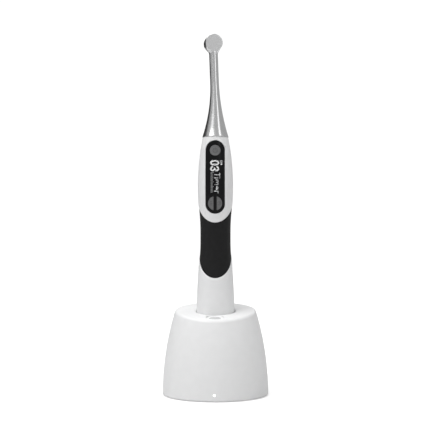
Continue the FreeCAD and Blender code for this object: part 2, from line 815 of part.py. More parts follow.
def neck_loft():
    low, skirt_end = number(s.seam_z) + number(s.seam_gap), number(s.skirt_end_z)
    top = number(s.head_z) - 4
    step = (skirt_end - low) / 8
    levels = [low + step * i for i in range(9)]
    levels += [(2 * skirt_end + top) / 3, (skirt_end + 2 * top) / 3, top]
    rings = []
    for i, z in enumerate(levels):
        centre, direction = path_point(z)
        ring = doc.addObject("Part::Circle", "neck_ring_%d" % i)
        bind(ring, "Radius", neck_radius_at(z))
        tilt = math.degrees(math.atan2(direction.y, direction.z))
        place(ring, centre.x, centre.y, centre.z, X_AXIS, -tilt)
        rings.append(ring)
    loft = doc.addObject("Part::Loft", "neck_outside")
    loft.Sections = rings
    loft.Solid = True
    loft.Ruled = False
    return loft


def neck_tube(label, radius, end_z):
    """A round tube's solid along the neck's centre line, up to a height."""
    start, bend_start, middle, bend_end = neck_path()
    end = path_point(end_z)[0]
    edges = [
        Part.LineSegment(start, bend_start).toShape(),
        Part.Arc(bend_start, middle, bend_end).toShape(),
        Part.LineSegment(bend_end, end).toShape(),
    ]
    circle = Part.Wire(Part.Circle(start, Z_AXIS, number(radius)).toShape())
    tube = doc.addObject("Part::Feature", label)
    tube.Shape = Part.Wire(edges).makePipeShell([circle], True, False)
    return tube


def head_disc(label, radius, y, depth):
    """A disc of the head, from y backwards."""
    disc = cylinder(label, radius, depth)
    return place(disc, 0, y, s.head_z, X_AXIS, -90)


def make_neck_and_head():
    """Metal neck and head, and the swivel parts under them."""
    can = head_disc("head_can", s.head_radius, s.head_face_y, s.head_depth)
    paddle = new_body("head_paddle")
    half = s.paddle_half_width
    join = s.head_radius * s.paddle_join
    join_z = s.head_z - s.head_radius * root(1 - s.paddle_join * s.paddle_join)
    points = [
        (half, s.paddle_end_z),
        (join, join_z, s.paddle_curve, -1),
        (-join, join_z),
        (-half, s.paddle_end_z, s.paddle_curve, -1),
    ]
    sketch = draw_outline(new_sketch(paddle, "XZ_Plane", -s.head_face_y), points)
    extrude(paddle, sketch, s.paddle_depth, back=True)
    cavity_radius = s.head_radius - s.head_wall
    cavity = head_disc(
        "head_cavity", cavity_radius, s.head_face_y + s.head_wall, s.head_depth + 2
    )
    skirt_low = s.seam_z + s.seam_gap
    skirt_cavity = turn(
        new_body("skirt_cavity"),
        [
            (0, skirt_low - 1),
            (s.hub_flange_radius + 0.02, skirt_low - 1),
            (s.hub_flange_radius + 0.02, skirt_low + s.hub_flange_height),
            (s.wire_bore, s.lean_z),
            (0, s.lean_z),
        ],
    )
    whole = fuse("neck_whole", neck_loft(), can, paddle)
    bore = neck_tube("neck_bore", s.wire_bore, number(s.head_z) - 3)
    node(turned_result(cut("neck_housing", whole, bore, skirt_cavity, cavity)))

    clip_low = s.clip_z - s.clip_slack
    clip_high = s.clip_z + s.clip_thickness + s.clip_slack
    ring_low = s.swivel_ring_z - s.swivel_ring_width / 2
    ring_high = s.swivel_ring_z + s.swivel_ring_width / 2
    flange_top = skirt_low + s.hub_flange_height
    hub = turn(
        new_body("swivel_hub"),
        [
            (s.wire_bore + s.hub_wall, s.hub_low_z),
            (s.hub_radius - s.hub_step, s.hub_low_z),
            (s.hub_radius - s.hub_step, clip_low),
            (s.clip_groove, clip_low),
            (s.clip_groove, clip_high),
            (s.hub_radius, clip_high),
            (s.hub_radius, ring_low),
            (s.swivel_ring_groove, ring_low),
            (s.swivel_ring_groove, ring_high),
            (s.hub_radius, ring_high),
            (s.hub_radius, skirt_low),
            (s.hub_flange_radius, skirt_low),
            (s.hub_flange_radius, flange_top),
            (s.wire_bore + s.hub_wall, flange_top),
        ],
    )
    node(turned_result(hub))
    clip = turn(
        new_body("swivel_clip_ring"),
        [
            (s.clip_groove + s.clip_fit, s.clip_z),
            (s.clip_outer, s.clip_z),
            (s.clip_outer, s.clip_z + s.clip_thickness),
            (s.clip_groove + s.clip_fit, s.clip_z + s.clip_thickness),
        ],
    )
    mouth = box(
        "swivel_clip_mouth",
        0,
        s.clip_mouth,
        s.clip_z - 1,
        s.clip_mouth,
        s.clip_outer,
        s.clip_thickness + 2,
    )
    node(turned_result(cut("swivel_clip", clip, mouth)))
    seal = doc.addObject("Part::Torus", "swivel_seal_ring")
    half_seal = s.swivel_ring_thickness / 2
    bind(seal, "Radius1", s.swivel_ring_groove + half_seal + s.swivel_ring_fit)
    bind(seal, "Radius2", half_seal)
    node(place(seal, 0, 0, s.swivel_ring_z))
    make_lamp(cavity_radius - s.lamp_fit)


def wire_slot(label, y, width, depth):
    """The notch in the lamp's parts that the wires pass through."""
    low = s.head_z - 2 * s.wire_notch
    return box(label, 0, y - 1, low, width, depth, width - 0.6)


def make_lamp(bore_radius):
    """Board, emitter, reflector, lens and ring in the head, and the wires."""
    board_y = s.head_face_y + s.head_wall
    carrier_y = board_y + s.lamp_board_thickness
    die_y = carrier_y + s.carrier_height
    board = head_disc("led_board_disc", bore_radius, board_y, s.lamp_board_thickness)
    board_notch = wire_slot("led_board_notch", board_y, s.wire_notch, 4.0)
    node(turned_result(cut("led_board", board, board_notch)))
    emitters = []
    for x_side in (-1, 1):
        for z_side in (-1, 1):
            low = s.head_z + z_side * s.die_step - s.die_size / 2
            name = "led_die_%d" % len(emitters)
            x = x_side * s.die_step
            emitters.append(box(name, x, die_y, low, s.die_size, s.die_height, s.die_size))
    carrier = box(
        "led_carrier",
        0,
        carrier_y,
        s.head_z - s.carrier_size / 2,
        s.carrier_size,
        s.carrier_height,
        s.carrier_size,
    )
    node(turned_result(fuse("led_emitter", carrier, *emitters)))
    outer = head_disc("reflector_outer", bore_radius, carrier_y, s.reflector_depth)
    funnel = doc.addObject("Part::Cone", "reflector_funnel")
    bind(funnel, "Radius1", s.reflector_throat)
    bind(funnel, "Radius2", bore_radius - s.reflector_rim)
    bind(funnel, "Height", s.reflector_depth)
    place(funnel, 0, carrier_y, s.head_z, X_AXIS, -90)
    funnel_notch = wire_slot("reflector_notch", carrier_y, s.wire_notch + 0.2, 6.0)
    node(turned_result(cut("reflector", outer, funnel, funnel_notch)))
    lens_y = carrier_y + s.reflector_depth
    lens_block = head_disc("lens_block", bore_radius - s.lens_fit, lens_y, s.lens_thickness)
    lens_ball = doc.addObject("Part::Sphere", "lens_ball")
    bind(lens_ball, "Radius", s.lens_curve)
    place(lens_ball, 0, lens_y + s.lens_thickness - s.lens_ring_gap - s.lens_curve, s.head_z)
    node(turned_result(common("exit_lens", lens_block, lens_ball)))
    ring_y = lens_y + s.lens_thickness + s.lens_ring_gap
    ring = head_disc("lens_ring_outer", bore_radius, ring_y, s.lens_ring_thickness)
    ring_hole = head_disc("lens_ring_hole", bore_radius - s.lens_ring_width, lens_y, as_size(4))
    node(turned_result(cut("lens_ring", ring, ring_hole)))
    wire_end = number(s.head_z) - 3.8
    for side, label in ((-1, "left"), (1, "right")):
        wire = neck_tube("lamp_wire_" + label, s.wire_radius, wire_end)
        offset = Vector(side * number(s.wire_offset), 0, 0)
        wire.Placement = FreeCAD.Placement(offset, FreeCAD.Rotation())
        node(turned_with_head(wire))


# ---------------------------------------------------------------- cradle


def below_top(label, drop):
    """A solid under the cradle's crowned, forward-sloping top, lowered by drop."""
    angle = math.radians(number(s.top_angle))
    half_length = 2 * OVERSHOOT + number(s.base_radius)
    barrel = cylinder(label, s.top_curve - drop, 2 * half_length)
    centre_y = s.top_curve * math.sin(angle)
    centre_z = s.top_z - s.top_curve * math.cos(angle)
    return place(barrel, -half_length, centre_y, centre_z, Y_AXIS, 90)


def wall_radius(z, inwards=0):
    """Radius of the cradle's bulging wall at a height."""
    curve = s.base_curve
    return s.base_radius - curve + root(curve * curve - z * z) - inwards


def screw_places():
    """The three places of the bottom screws, on a circle round the axis."""
    circle = number(s.screw_circle)
    angles = [math.radians(120 * i) for i in range(3)]
    return [(circle * math.cos(angle), circle * math.sin(angle)) for angle in angles]


def wall_outline(low_z, inner_radius):
    """Outline of the wall, or of all that it encloses, above a height."""
    return [
        (inner_radius, low_z),
        (wall_radius(low_z), low_z),
        (wall_radius(s.wall_high_z), s.wall_high_z, s.base_curve, 1),
    ]


def make_base_shell():
    """The cradle's outer wall with its screw bosses, lamp hole and inlet hole."""
    wall = s.base_wall
    wall_points = wall_outline(s.base_lift, wall_radius(s.base_lift, wall))
    wall_points[0] += (s.base_curve, -1)
    wall_points.append((wall_radius(s.wall_high_z, wall), s.wall_high_z))
    shell = turn(new_body("base_shell_wall"), wall_points)
    bosses = []
    for i, (x, y) in enumerate(screw_places()):
        boss = cylinder("base_boss_%d" % i, s.boss_radius, s.boss_height)
        place(boss, x, y, s.plate_z + s.plate_thickness)
        hole = cylinder("base_boss_hole_%d" % i, s.screw_radius + s.screw_bite, s.boss_height)
        place(hole, x, y, s.plate_z)
        bosses.append(cut("base_boss_drilled_%d" % i, boss, hole))
    trimmed = common("base_shell_trimmed", shell, below_top("base_shell_limit", 0))
    whole = fuse("base_shell_whole", trimmed, *bosses)
    outer_points = wall_outline(as_size(0), as_size(0)) + [(0, s.wall_high_z)]
    outer = turn(new_body("base_outer_limit"), outer_points)
    closed = common("base_shell_closed", whole, outer)
    lamp_hole = cylinder("lamp_hole", s.lamp_radius + s.screw_bite, OVERSHOOT)
    towards_front(lamp_hole, 0, s.screw_circle, s.lamp_z)
    inlet_hole = inlet_block("inlet_hole", s.inlet_gap, s.inlet_y - OVERSHOOT / 2, OVERSHOOT)
    node(cut("base_shell", closed, lamp_hole, inlet_hole))


def make_base_top():
    """The sloping top, crowned and dished, with the socket and the sensor port."""
    wall = s.base_wall
    plug = turn(
        new_body("base_top_plug"),
        [
            (0, s.plug_low_z),
            (wall_radius(s.plug_low_z, wall), s.plug_low_z),
            (wall_radius(s.wall_high_z, wall), s.wall_high_z, s.base_curve, 1),
            (0, s.wall_high_z),
        ],
    )
    crowned = common("base_top_crowned", plug, below_top("base_top_limit", 0))
    angle = math.radians(number(s.top_angle))
    dish = doc.addObject("Part::Sphere", "dish")
    bind(dish, "Radius", s.dish_curve)
    rise = s.dish_curve - s.dish_depth
    place(dish, 0, -rise * math.sin(angle), s.top_z + rise * math.cos(angle))
    opening = cylinder("socket_opening", s.opening_radius, s.top_z)
    place(opening, 0, 0, s.cup_floor_z)
    port = port_disc("sensor_port", s.port_radius, s.port_depth, 4.0)
    port_hole = port_disc("sensor_hole", s.port_window_radius, 2 * s.top_thickness, 0)
    underside = below_top("base_top_underside", s.top_thickness)
    node(cut("base_top", crowned, underside, dish, opening, port, port_hole))

    window_radius = s.port_window_radius - s.port_window_fit
    window_depth = s.port_depth + s.port_window_thickness
    window = port_disc("sensor_window", window_radius, window_depth, 0)
    shorten = port_disc("sensor_window_limit", s.port_radius, s.port_depth, 9.0)
    node(cut("sensor_port_window", window, shorten))
    node(port_box("photodiode", s.photodiode_size, s.photodiode_drop, s.photodiode_height))
    board = port_box(
        "sensor_board", s.sensor_board_size, s.sensor_board_drop, s.sensor_board_thickness
    )
    node(board)


def make_socket_cup():
    """The cup that holds the handpiece's tail, with a rib that keys it."""
    cup_low = s.cup_floor_z - s.cup_floor
    outer = s.opening_radius + s.cup_wall
    cup = turn(
        new_body("socket_cup_turned"),
        [
            (0, cup_low),
            (s.cup_low_radius + s.cup_wall, cup_low),
            (outer, s.top_z),
            (outer, s.wall_high_z),
            (s.opening_radius, s.wall_high_z),
            (s.opening_radius, s.top_z),
            (s.cup_low_radius, s.cup_floor_z),
            (0, s.cup_floor_z),
        ],
    )
    trimmed_cup = common("socket_cup_trimmed", cup, below_top("cup_limit", s.top_thickness))
    rib = box(
        "socket_rib",
        0,
        s.cup_low_radius - s.key_height,
        s.cup_floor_z - 1,
        s.key_width,
        s.key_height + 1,
        s.key_top_z - s.cup_floor_z + 1,
    )
    holes = []
    for side, label in ((-1, "left"), (1, "right")):
        hole = cylinder("cup_pin_hole_" + label, s.barrel_radius, 3 * s.cup_floor)
        holes.append(place(hole, side * s.pin_spacing / 2, 0, cup_low - s.cup_floor))
    node(cut("socket_cup", fuse("socket_cup_whole", trimmed_cup, rib), *holes))


def port_angle():
    """Slope of the crowned top where the sensor port is."""
    return number(s.top_angle) + math.degrees(
        math.asin(number(s.port_y) / number(s.top_curve))
    )


def port_centre():
    """The point of the dished top in the middle of the sensor port."""
    angle = math.radians(number(s.top_angle))
    curve = number(s.top_curve)
    y = -number(s.port_y)
    centre_y = curve * math.sin(angle)
    centre_z = number(s.top_z) - curve * math.cos(angle)
    return Vector(0, y, centre_z + math.sqrt(curve * curve - (y - centre_y) ** 2))


def port_disc(label, radius, depth, above):
    """A disc square to the top at the sensor port, from above it down to depth."""
    angle = math.radians(port_angle())
    normal = Vector(0, -math.sin(angle), math.cos(angle))
    low = port_centre() - normal * number(depth)
    disc = cylinder(label, radius, depth + above)
    return place(disc, low.x, low.y, low.z, X_AXIS, port_angle())


def port_box(label, width, drop, thickness):
    """A square block under the sensor port's window, drop below the top."""
    angle = math.radians(port_angle())
    normal = Vector(0, -math.sin(angle), math.cos(angle))
    along = Vector(0, math.cos(angle), math.sin(angle))
    half = number(width) / 2
    corner = port_centre() - normal * number(drop) - along * half - X_AXIS * half
    block = doc.addObject("Part::Box", label)
    bind(block, "Length", width)
    bind(block, "Width", width)
    bind(block, "Height", thickness)
    return place(block, corner.x, corner.y, corner.z, X_AXIS, port_angle())


def inlet_block(label, grow, near_y, depth):
    """The power inlet's rounded outline, reaching back from near_y."""
    middle_z = s.base_board_z + s.base_board_thickness + s.inlet_height / 2
    half_height = s.inlet_height / 2 + grow
    half_width = s.inlet_width / 2 + grow - half_height
    points = [
        (half_width, middle_z - half_height),
        (half_width, middle_z + half_height, half_height, 1),
        (-half_width, middle_z + half_height),
        (-half_width, middle_z - half_height, half_height, 1),
    ]
    body = new_body(label)
    sketch = draw_outline(new_sketch(body, "XZ_Plane", -as_size(near_y)), points)
    return extrude(body, sketch, depth, back=True)


def make_charging_pins():
    """Two sprung pins in barrels, held under the cup's floor by a block."""
    block_low = s.cup_floor_z - s.cup_floor - s.block_height
    block = box(
        "pin_block_body",
        0,
        -s.block_depth / 2,
        block_low,
        s.pin_spacing + s.block_margin,
        s.block_depth,
        s.block_height,
    )
    holes = []
    for side, label in ((-1, "left"), (1, "right")):
        x = side * s.pin_spacing / 2
        hole = cylinder("block_hole_" + label, s.barrel_radius, 3 * s.block_height)
        holes.append(place(hole, x, 0, block_low - s.block_height))
        barrel_height = s.cup_floor_z - s.barrel_drop - block_low
        barrel = cylinder("pin_barrel_outer_" + label, s.barrel_radius, barrel_height)
        place(barrel, x, 0, block_low)
        bore_radius = s.pin_radius + s.pin_clearance
        bore = cylinder("pin_barrel_bore_" + label, bore_radius, 2 * barrel_height)
        place(bore, x, 0, block_low + s.barrel_floor)
        node(cut("pin_barrel_" + label, barrel, bore))
        low, curve = s.pin_tip_z - s.pin_length, s.pin_tip_curve
        pin = turn(
            new_body("charge_pin_" + label),
            [
                (0, low),
                (s.pin_radius, low),
                (s.pin_radius, s.pin_tip_z - curve),
                (s.pin_radius - curve, s.pin_tip_z, curve, 1),
                (0, s.pin_tip_z),
            ],
        )
        node(place(pin, x, 0, 0))
    node(cut("pin_block", block, *holes))


def make_base_board():
    """Cradle board with tabs to the inlet and the lamp, the inlet and the lamp."""
    thickness = s.base_board_thickness
    disc = cylinder("base_board_disc", s.base_board_radius, thickness)
    place(disc, 0, 0, s.base_board_z)
    inlet_tab = box(
        "base_board_inlet_tab",
        0,
        s.board_tab_start,
        s.base_board_z,
        s.inlet_width + 2,
        s.inlet_y - s.inlet_overhang - s.board_tab_start,
        thickness,
    )
    lamp_tab = box(
        "base_board_lamp_tab",
        0,
        -s.lamp_tab_end,
        s.base_board_z,
        s.lamp_tab_width,
        s.lamp_tab_end - s.board_tab_start,
        thickness,
    )
    node(fuse("base_board", disc, inlet_tab, lamp_tab))

    back_y = s.inlet_y - s.inlet_depth
    outer = inlet_block("power_inlet_outer", 0, back_y, s.inlet_depth)
    hollow = inlet_block(
        "power_inlet_hollow", -s.inlet_wall, back_y + s.inlet_floor, s.inlet_depth
    )
    tongue = box(
        "power_inlet_tongue",
        0,
        back_y + s.inlet_floor / 2,
        s.base_board_z + thickness + (s.inlet_height - s.tongue_thickness) / 2,
        s.tongue_width,
        s.inlet_depth - s.tongue_short,
        s.tongue_thickness,
    )
    node(fuse("power_inlet", cut("power_inlet_can", outer, hollow), tongue))

    lamp_low = s.lamp_z - s.lamp_rise
    lamp_height = s.base_board_z - lamp_low
    lamp = box(
        "status_lamp", 0, -s.lamp_y, lamp_low, s.lamp_width, s.lamp_depth, lamp_height
    )
    node(lamp)
    guide = cylinder("status_lamp_guide", s.lamp_radius, s.base_radius - s.lamp_y)
    node(towards_front(guide, 0, s.lamp_y, s.lamp_z))


def make_underside():
    """Bottom plate with its screws and feet, and the ballast on it."""
    plate_radius = wall_radius(s.base_lift, s.base_wall) - s.plate_gap
    plate = cylinder("bottom_plate_disc", plate_radius, s.plate_thickness)
    place(plate, 0, 0, s.plate_z)
    plate_top = s.plate_z + s.plate_thickness
    head_low = s.plate_z - s.screw_head_height
    holes = []
    for i, (x, y) in enumerate(screw_places()):
        name = "bottom_screw_%d" % (i + 1)
        hole = cylinder("plate_hole_%d" % i, s.screw_radius + s.screw_play, 2 * plate_top)
        holes.append(place(hole, x, y, 0))
        shank = cylinder(name + "_shank", s.screw_radius, s.screw_length)
        place(shank, x, y, s.plate_z)
        head = cylinder(name + "_head", s.screw_head, s.screw_head_height)
        place(head, x, y, head_low)
        recess = doc.addObject("Part::Prism", name + "_recess")
        recess.Polygon = 6
        bind(recess, "Circumradius", s.screw_recess)
        bind(recess, "Height", 2 * s.screw_recess_depth)
        place(recess, x, y, head_low - s.screw_recess_depth)
        node(cut(name, fuse(name + "_body", shank, head), recess))
    node(cut("bottom_plate", plate, *holes))

    ballast_top = plate_top + s.ballast_height
    ballast = turn(
        new_body("ballast_plate"),
        [
            (s.ballast_inner, plate_top),
            (s.ballast_outer, plate_top),
            (s.ballast_outer, ballast_top),
            (s.ballast_inner, ballast_top),
        ],
    )
    node(ballast)
    edge = s.foot_edge
    for i in range(4):
        angle = math.radians(45 + 90 * i)
        foot = turn(
            new_body("rubber_foot_%d" % (i + 1)),
            [
                (0, 0),
                (s.foot_radius - edge, 0),
                (s.foot_radius, edge, edge, 1),
                (s.foot_radius, s.plate_z),
                (0, s.plate_z),
            ],
        )
        circle = number(s.foot_circle)
        node(place(foot, circle * math.cos(angle), circle * math.sin(angle), 0))


# ---------------------------------------------------------------- build and write


make_casing_parts()
make_electronics()
make_tube_and_battery()
make_grip_and_tail()
make_neck_and_head()
make_base_shell()
make_base_top()
make_socket_cup()
make_charging_pins()
make_base_board()
make_underside()
doc.recompute()

for thing in doc.Objects:
    if "Invalid" in thing.State or "Error" in thing.State:
        raise SystemExit("%s failed: %s" % (thing.Name, thing.State))
labels = [thing.Label for thing in nodes]
if len(set(labels)) != len(labels):
    raise SystemExit("two sub-parts share a label")
for thing in nodes:
    shape = thing.Shape
    if shape.isNull() or not shape.isValid() or len(shape.Solids) != 1:
        raise SystemExit("%s is not one valid solid" % thing.Label)
for thing in nodes:
    thing.Shape.exportStep("parts/%s.step" % thing.Label)
    print("%-26s %9.1f mm3" % (thing.Label, thing.Shape.Volume))
print(len(nodes), "sub-parts")
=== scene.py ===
import math

import bpy
import numpy as np
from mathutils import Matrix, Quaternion, Vector


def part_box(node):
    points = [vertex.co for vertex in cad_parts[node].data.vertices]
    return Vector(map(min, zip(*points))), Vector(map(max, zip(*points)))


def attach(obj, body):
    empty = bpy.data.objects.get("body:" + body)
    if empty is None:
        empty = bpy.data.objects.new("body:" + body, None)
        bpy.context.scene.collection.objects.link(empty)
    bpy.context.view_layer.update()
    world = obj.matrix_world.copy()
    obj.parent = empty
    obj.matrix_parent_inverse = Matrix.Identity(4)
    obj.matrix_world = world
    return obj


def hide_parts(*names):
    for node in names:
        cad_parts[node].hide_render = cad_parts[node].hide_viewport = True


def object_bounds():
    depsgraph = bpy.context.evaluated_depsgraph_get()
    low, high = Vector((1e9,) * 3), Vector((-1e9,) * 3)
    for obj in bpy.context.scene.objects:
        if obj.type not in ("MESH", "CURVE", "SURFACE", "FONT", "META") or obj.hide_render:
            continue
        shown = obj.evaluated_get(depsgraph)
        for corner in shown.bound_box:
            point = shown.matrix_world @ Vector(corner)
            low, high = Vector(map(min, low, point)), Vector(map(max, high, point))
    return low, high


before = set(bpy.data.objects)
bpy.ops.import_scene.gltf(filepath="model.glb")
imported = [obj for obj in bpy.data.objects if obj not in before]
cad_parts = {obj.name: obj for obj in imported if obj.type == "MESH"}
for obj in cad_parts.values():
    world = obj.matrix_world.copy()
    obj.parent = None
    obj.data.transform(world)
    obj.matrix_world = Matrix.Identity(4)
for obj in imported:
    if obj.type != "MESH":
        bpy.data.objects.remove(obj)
cad_low, cad_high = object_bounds()

# A pen-style dental curing light in its charging cradle. Shapes are worked out in
# millimetres as fields that are below zero inside the material, and meshed on their
# zero level. +Z is up and the display faces -Y, as in the frame.

MM = 0.001
FINE = 1.0


def low_mm(node):
    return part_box(node)[0] / MM


def high_mm(node):
    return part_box(node)[1] / MM


# ---------------------------------------------------------------- sizes

PART_GAP = 0.03
EDGE, FINE_EDGE = 0.5, 0.35

# The seam under the neck is a little lower than on the CAD solids.
SEAM_DROP = 0.35
CASING_TOP = high_mm("upper_casing").z - SEAM_DROP
CASING_WALL, CASING_CAP, CASING_BORE = 1.5, 4.45, 4.55
BELLY_RADIUS = high_mm("upper_casing").x
TAIL_LOW = low_mm("tail_casing").z
TAIL_EDGE = 0.4
TUBE_BORE = 9.0
GROOVE_HALF_WIDTH, GROOVE_Y, GROOVE_TOP = 1.4, 10.6, 47.5
GRIP_INSET = 0.25
GRIP_TOP, GRIP_TOP_SLOPE = 128.7, math.radians(51.0)
GRIP_BOTTOM, GRIP_BOTTOM_SLOPE = 92.6, math.radians(50.4)

WINDOW_HALF_WIDTH, WINDOW_HALF_HEIGHT, WINDOW_Z = 6.45, 24.75, 146.65
WINDOW_THICKNESS, WINDOW_LEDGE, WINDOW_GAP = 1.0, 0.9, 0.05
POWER_Z, POWER_RADIUS = 164.5, 3.65
PAIR_Z, PAIR_RADIUS, PAIR_HALF_GAP = 128.8, 4.75, 1.05
BUTTON_GAP, BUTTON_PROUD, BUTTON_BACK_Y = 0.12, 0.2, -6.9
BUTTON_EDGE, BUTTON_RIM = 0.3, 0.35
HOLE_EDGE = 0.2

NECK_RADIUS, SKIRT_CURVE, SKIRT_END = 3.0, 127.0, 213.0
NECK_LOW = CASING_TOP + 0.06
NECK_EDGE, WIRE_BORE = 0.25, 1.9
SKIRT_CAVITY_Z, SKIRT_CAVITY_RADIUS = 178.0, 6.45
LEAN_Z, LEAN_CURVE, LEAN = 195.0, 150.0, math.radians(11.5)
LEAN_START = LEAN_Z - LEAN_CURVE * math.tan(LEAN / 2)
HEAD_TURN = math.radians(11.5)
CAD_HEAD_RADIUS, HEAD_RADIUS = 5.9, 6.05
HEAD_Z = high_mm("neck_housing").z - CAD_HEAD_RADIUS
HEAD_FACE_Y, HEAD_DEPTH, HEAD_WALL = 5.0, 8.2, 1.1
HEAD_BLEND, HEAD_BACK_EDGE, FACE_CREASE = 3.0, 0.6, 0.15

BASE_CURVE = 195.0
BASE_RADIUS = 35.7
BASE_LOW = low_mm("base_shell").z
BASE_WALL = 2.2
TOP_Z, TOP_ANGLE, TOP_CURVE, TOP_THICKNESS = 57.5, math.radians(8.67), 350.0, 3.4
DISH_CURVE, DISH_DEPTH = 170.0, 1.7
CRADLE_EDGE, RIM_EDGE, OPENING_EDGE = 0.8, 1.6, 1.2
OPENING_RADIUS = 13.2
PORT_Y, PORT_RADIUS, PORT_DEPTH, PORT_WINDOW = -20.0, 5.75, 1.4, 4.0
PORT_ABOVE, PORT_THROUGH = 5, 8
PORT_LENS_LIFT, PORT_LENS_LOW, PORT_LENS_DOME = 0.25, 2.6, 60
INLET_Z, INLET_HALF_WIDTH, INLET_HALF_HEIGHT, INLET_FRONT_Y = 10.23, 4.62, 1.78, 20
LAMP_Z, LAMP_RADIUS, LAMP_PROUD, LAMP_BACK_Y, LAMP_DOME = 4.5, 0.8, 0.1, -33.0, 8

# ---------------------------------------------------------------- fields


def soft_max(a, b, width):
    """Larger of two fields, with the edge between them rounded over about width."""
    share = np.clip(0.5 + 0.5 * (a - b) / width, 0, 1)
    return a * share + b * (1 - share) + width * share * (1 - share)


def soft_min(a, b, width):
    return -soft_max(-a, -b, width)


def arc_radius(z, z0, r0, z1, r1, curve, bulge):
    """Radius at z on an arc between two outline points; bulge is 1 outwards, -1 inwards."""
    length = math.hypot(z1 - z0, r1 - r0)
    reach = math.sqrt(curve**2 - length**2 / 4) * bulge
    centre_z = (z0 + z1) / 2 + (r1 - r0) / length * reach
    centre_r = (r0 + r1) / 2 - (z1 - z0) / length * reach
    return centre_r + bulge * np.sqrt(np.maximum(curve**2 - (z - centre_z) ** 2, 0))


def upright_curve(z0, r0, z1, r1):
    """Curve of an arc that is upright at one of its two ends."""
    return ((z1 - z0) ** 2 + (r1 - r0) ** 2) / (2 * abs(r1 - r0))


OUTLINE = [
    (27.0, 11.6, 690.0, 1),
    (60.0, 12.85, 690.0, 1),
    (93.6, 10.9, None, -1),
    (103.0, 10.5, None, 0),
    (109.0, 10.5, None, -1),
    (123.0, 11.14, None, 1),
    (141.5, BELLY_RADIUS, None, 1),
    (CASING_TOP, 8.7, None, 0),
]


def outline_radius(z):
    """The handpiece's radius at each height, before any inset."""
    radius = np.full_like(z, OUTLINE[-1][1])
    for (z0, r0, curve, bulge), (z1, r1, _, _) in zip(OUTLINE, OUTLINE[1:]):
        here = (z >= z0) if z1 == CASING_TOP else (z >= z0) & (z < z1)
        if bulge == 0:
            radius = np.where(here, r0, radius)
            continue
        curve = curve or upright_curve(z0, r0, z1, r1)
        radius = np.where(here, arc_radius(z, z0, r0, z1, r1, curve, bulge), radius)
    return np.where(z < OUTLINE[0][0], OUTLINE[0][1], radius)


def stadium(x, z, half_width, half_height):
    """Distance in the front view from an upright stadium about the origin."""
    return np.hypot(x, np.maximum(np.abs(z) - half_height + half_width, 0)) - half_width


def above_slant(y, z, height, slope):
    """Distance above a plane that rises to the back from a height on the axis."""
    return (z - height) * math.cos(slope) - y * math.sin(slope)


def window_outline(x, z, grow):
    return stadium(x, z - WINDOW_Z, WINDOW_HALF_WIDTH + grow, WINDOW_HALF_HEIGHT + grow)


def casing_field(x, y, z):
    across = np.hypot(x, y)
    radius = outline_radius(z)
    body = soft_max(across - radius, z - CASING_TOP, EDGE)
    body = soft_max(body, -above_slant(y, z, GRIP_TOP, GRIP_TOP_SLOPE) + PART_GAP, EDGE)
    cavity = np.maximum(across - radius + CASING_WALL, z - CASING_TOP + CASING_CAP)
    bore = across - CASING_BORE
    body = np.maximum(body, -np.minimum(cavity, bore))
    seat = np.maximum(window_outline(x, z, WINDOW_GAP), y)
    seat = np.maximum(seat, radius - WINDOW_THICKNESS - PART_GAP - across)
    hole = np.maximum(window_outline(x, z, -WINDOW_LEDGE), y)
    return soft_max(soft_max(body, -seat, FINE_EDGE), -hole, HOLE_EDGE)


def half_moon(x, z, side, grow):
    disc = np.hypot(x, z - PAIR_Z) - PAIR_RADIUS - grow
    return soft_max(disc, PAIR_HALF_GAP - grow - side * x, BUTTON_EDGE)


def power_disc(x, z, grow):
    return np.hypot(x, z - POWER_Z) - POWER_RADIUS - grow


def window_field(x, y, z):
    across = np.hypot(x, y)
    radius = outline_radius(z)
    pane = np.maximum(window_outline(x, z, 0), y)
    pane = soft_max(pane, across - radius, FINE_EDGE)
    pane = np.maximum(pane, radius - WINDOW_THICKNESS - across)
    for hole in (
        power_disc(x, z, BUTTON_GAP),
        half_moon(x, z, -1, BUTTON_GAP),
        half_moon(x, z, 1, BUTTON_GAP),
    ):
        pane = soft_max(pane, -hole, HOLE_EDGE)
    return pane


def button_field(outline, hollow):
    """A button from its outline in the front view, slightly hollow inside its rim."""

    def field(x, y, z):
        shape = outline(x, z)
        proud = BUTTON_PROUD - hollow * np.clip((-shape - BUTTON_RIM) / BUTTON_RIM, 0, 1)
        top = np.hypot(x, y) - outline_radius(z) - proud
        return np.maximum(soft_max(shape, top, BUTTON_EDGE), y - BUTTON_BACK_Y)

    return field


def grip_field(x, y, z):
    across = np.hypot(x, y)
    sleeve = across - outline_radius(z) + GRIP_INSET
    below_casing = above_slant(y, z, GRIP_TOP, GRIP_TOP_SLOPE) + PART_GAP
    above_tail = PART_GAP - above_slant(y, z, GRIP_BOTTOM, GRIP_BOTTOM_SLOPE)
    sleeve = soft_max(soft_max(sleeve, below_casing, EDGE), above_tail, EDGE)
    return np.maximum(sleeve, TUBE_BORE - across)


def key_groove(x, y, z):
    """Slot at the back of the tail that guides it into the cradle."""
    return np.maximum(np.maximum(np.abs(x) - GROOVE_HALF_WIDTH, GROOVE_Y - y), z - GROOVE_TOP)


def tail_field(x, y, z):
    across = np.hypot(x, y)
    tail = across - outline_radius(z)
    below_grip = above_slant(y, z, GRIP_BOTTOM, GRIP_BOTTOM_SLOPE) + PART_GAP
    tail = soft_max(tail, below_grip, EDGE)
    tail = soft_max(tail, TAIL_LOW - z, TAIL_EDGE)
    tail = soft_max(tail, -key_groove(x, y, z), TAIL_EDGE)
    return np.maximum(tail, TUBE_BORE - across)


def neck_radius_at(z):
    drop = np.clip(SKIRT_END - z, 0, SKIRT_CURVE)
    return NECK_RADIUS + SKIRT_CURVE - np.sqrt(SKIRT_CURVE**2 - drop**2)


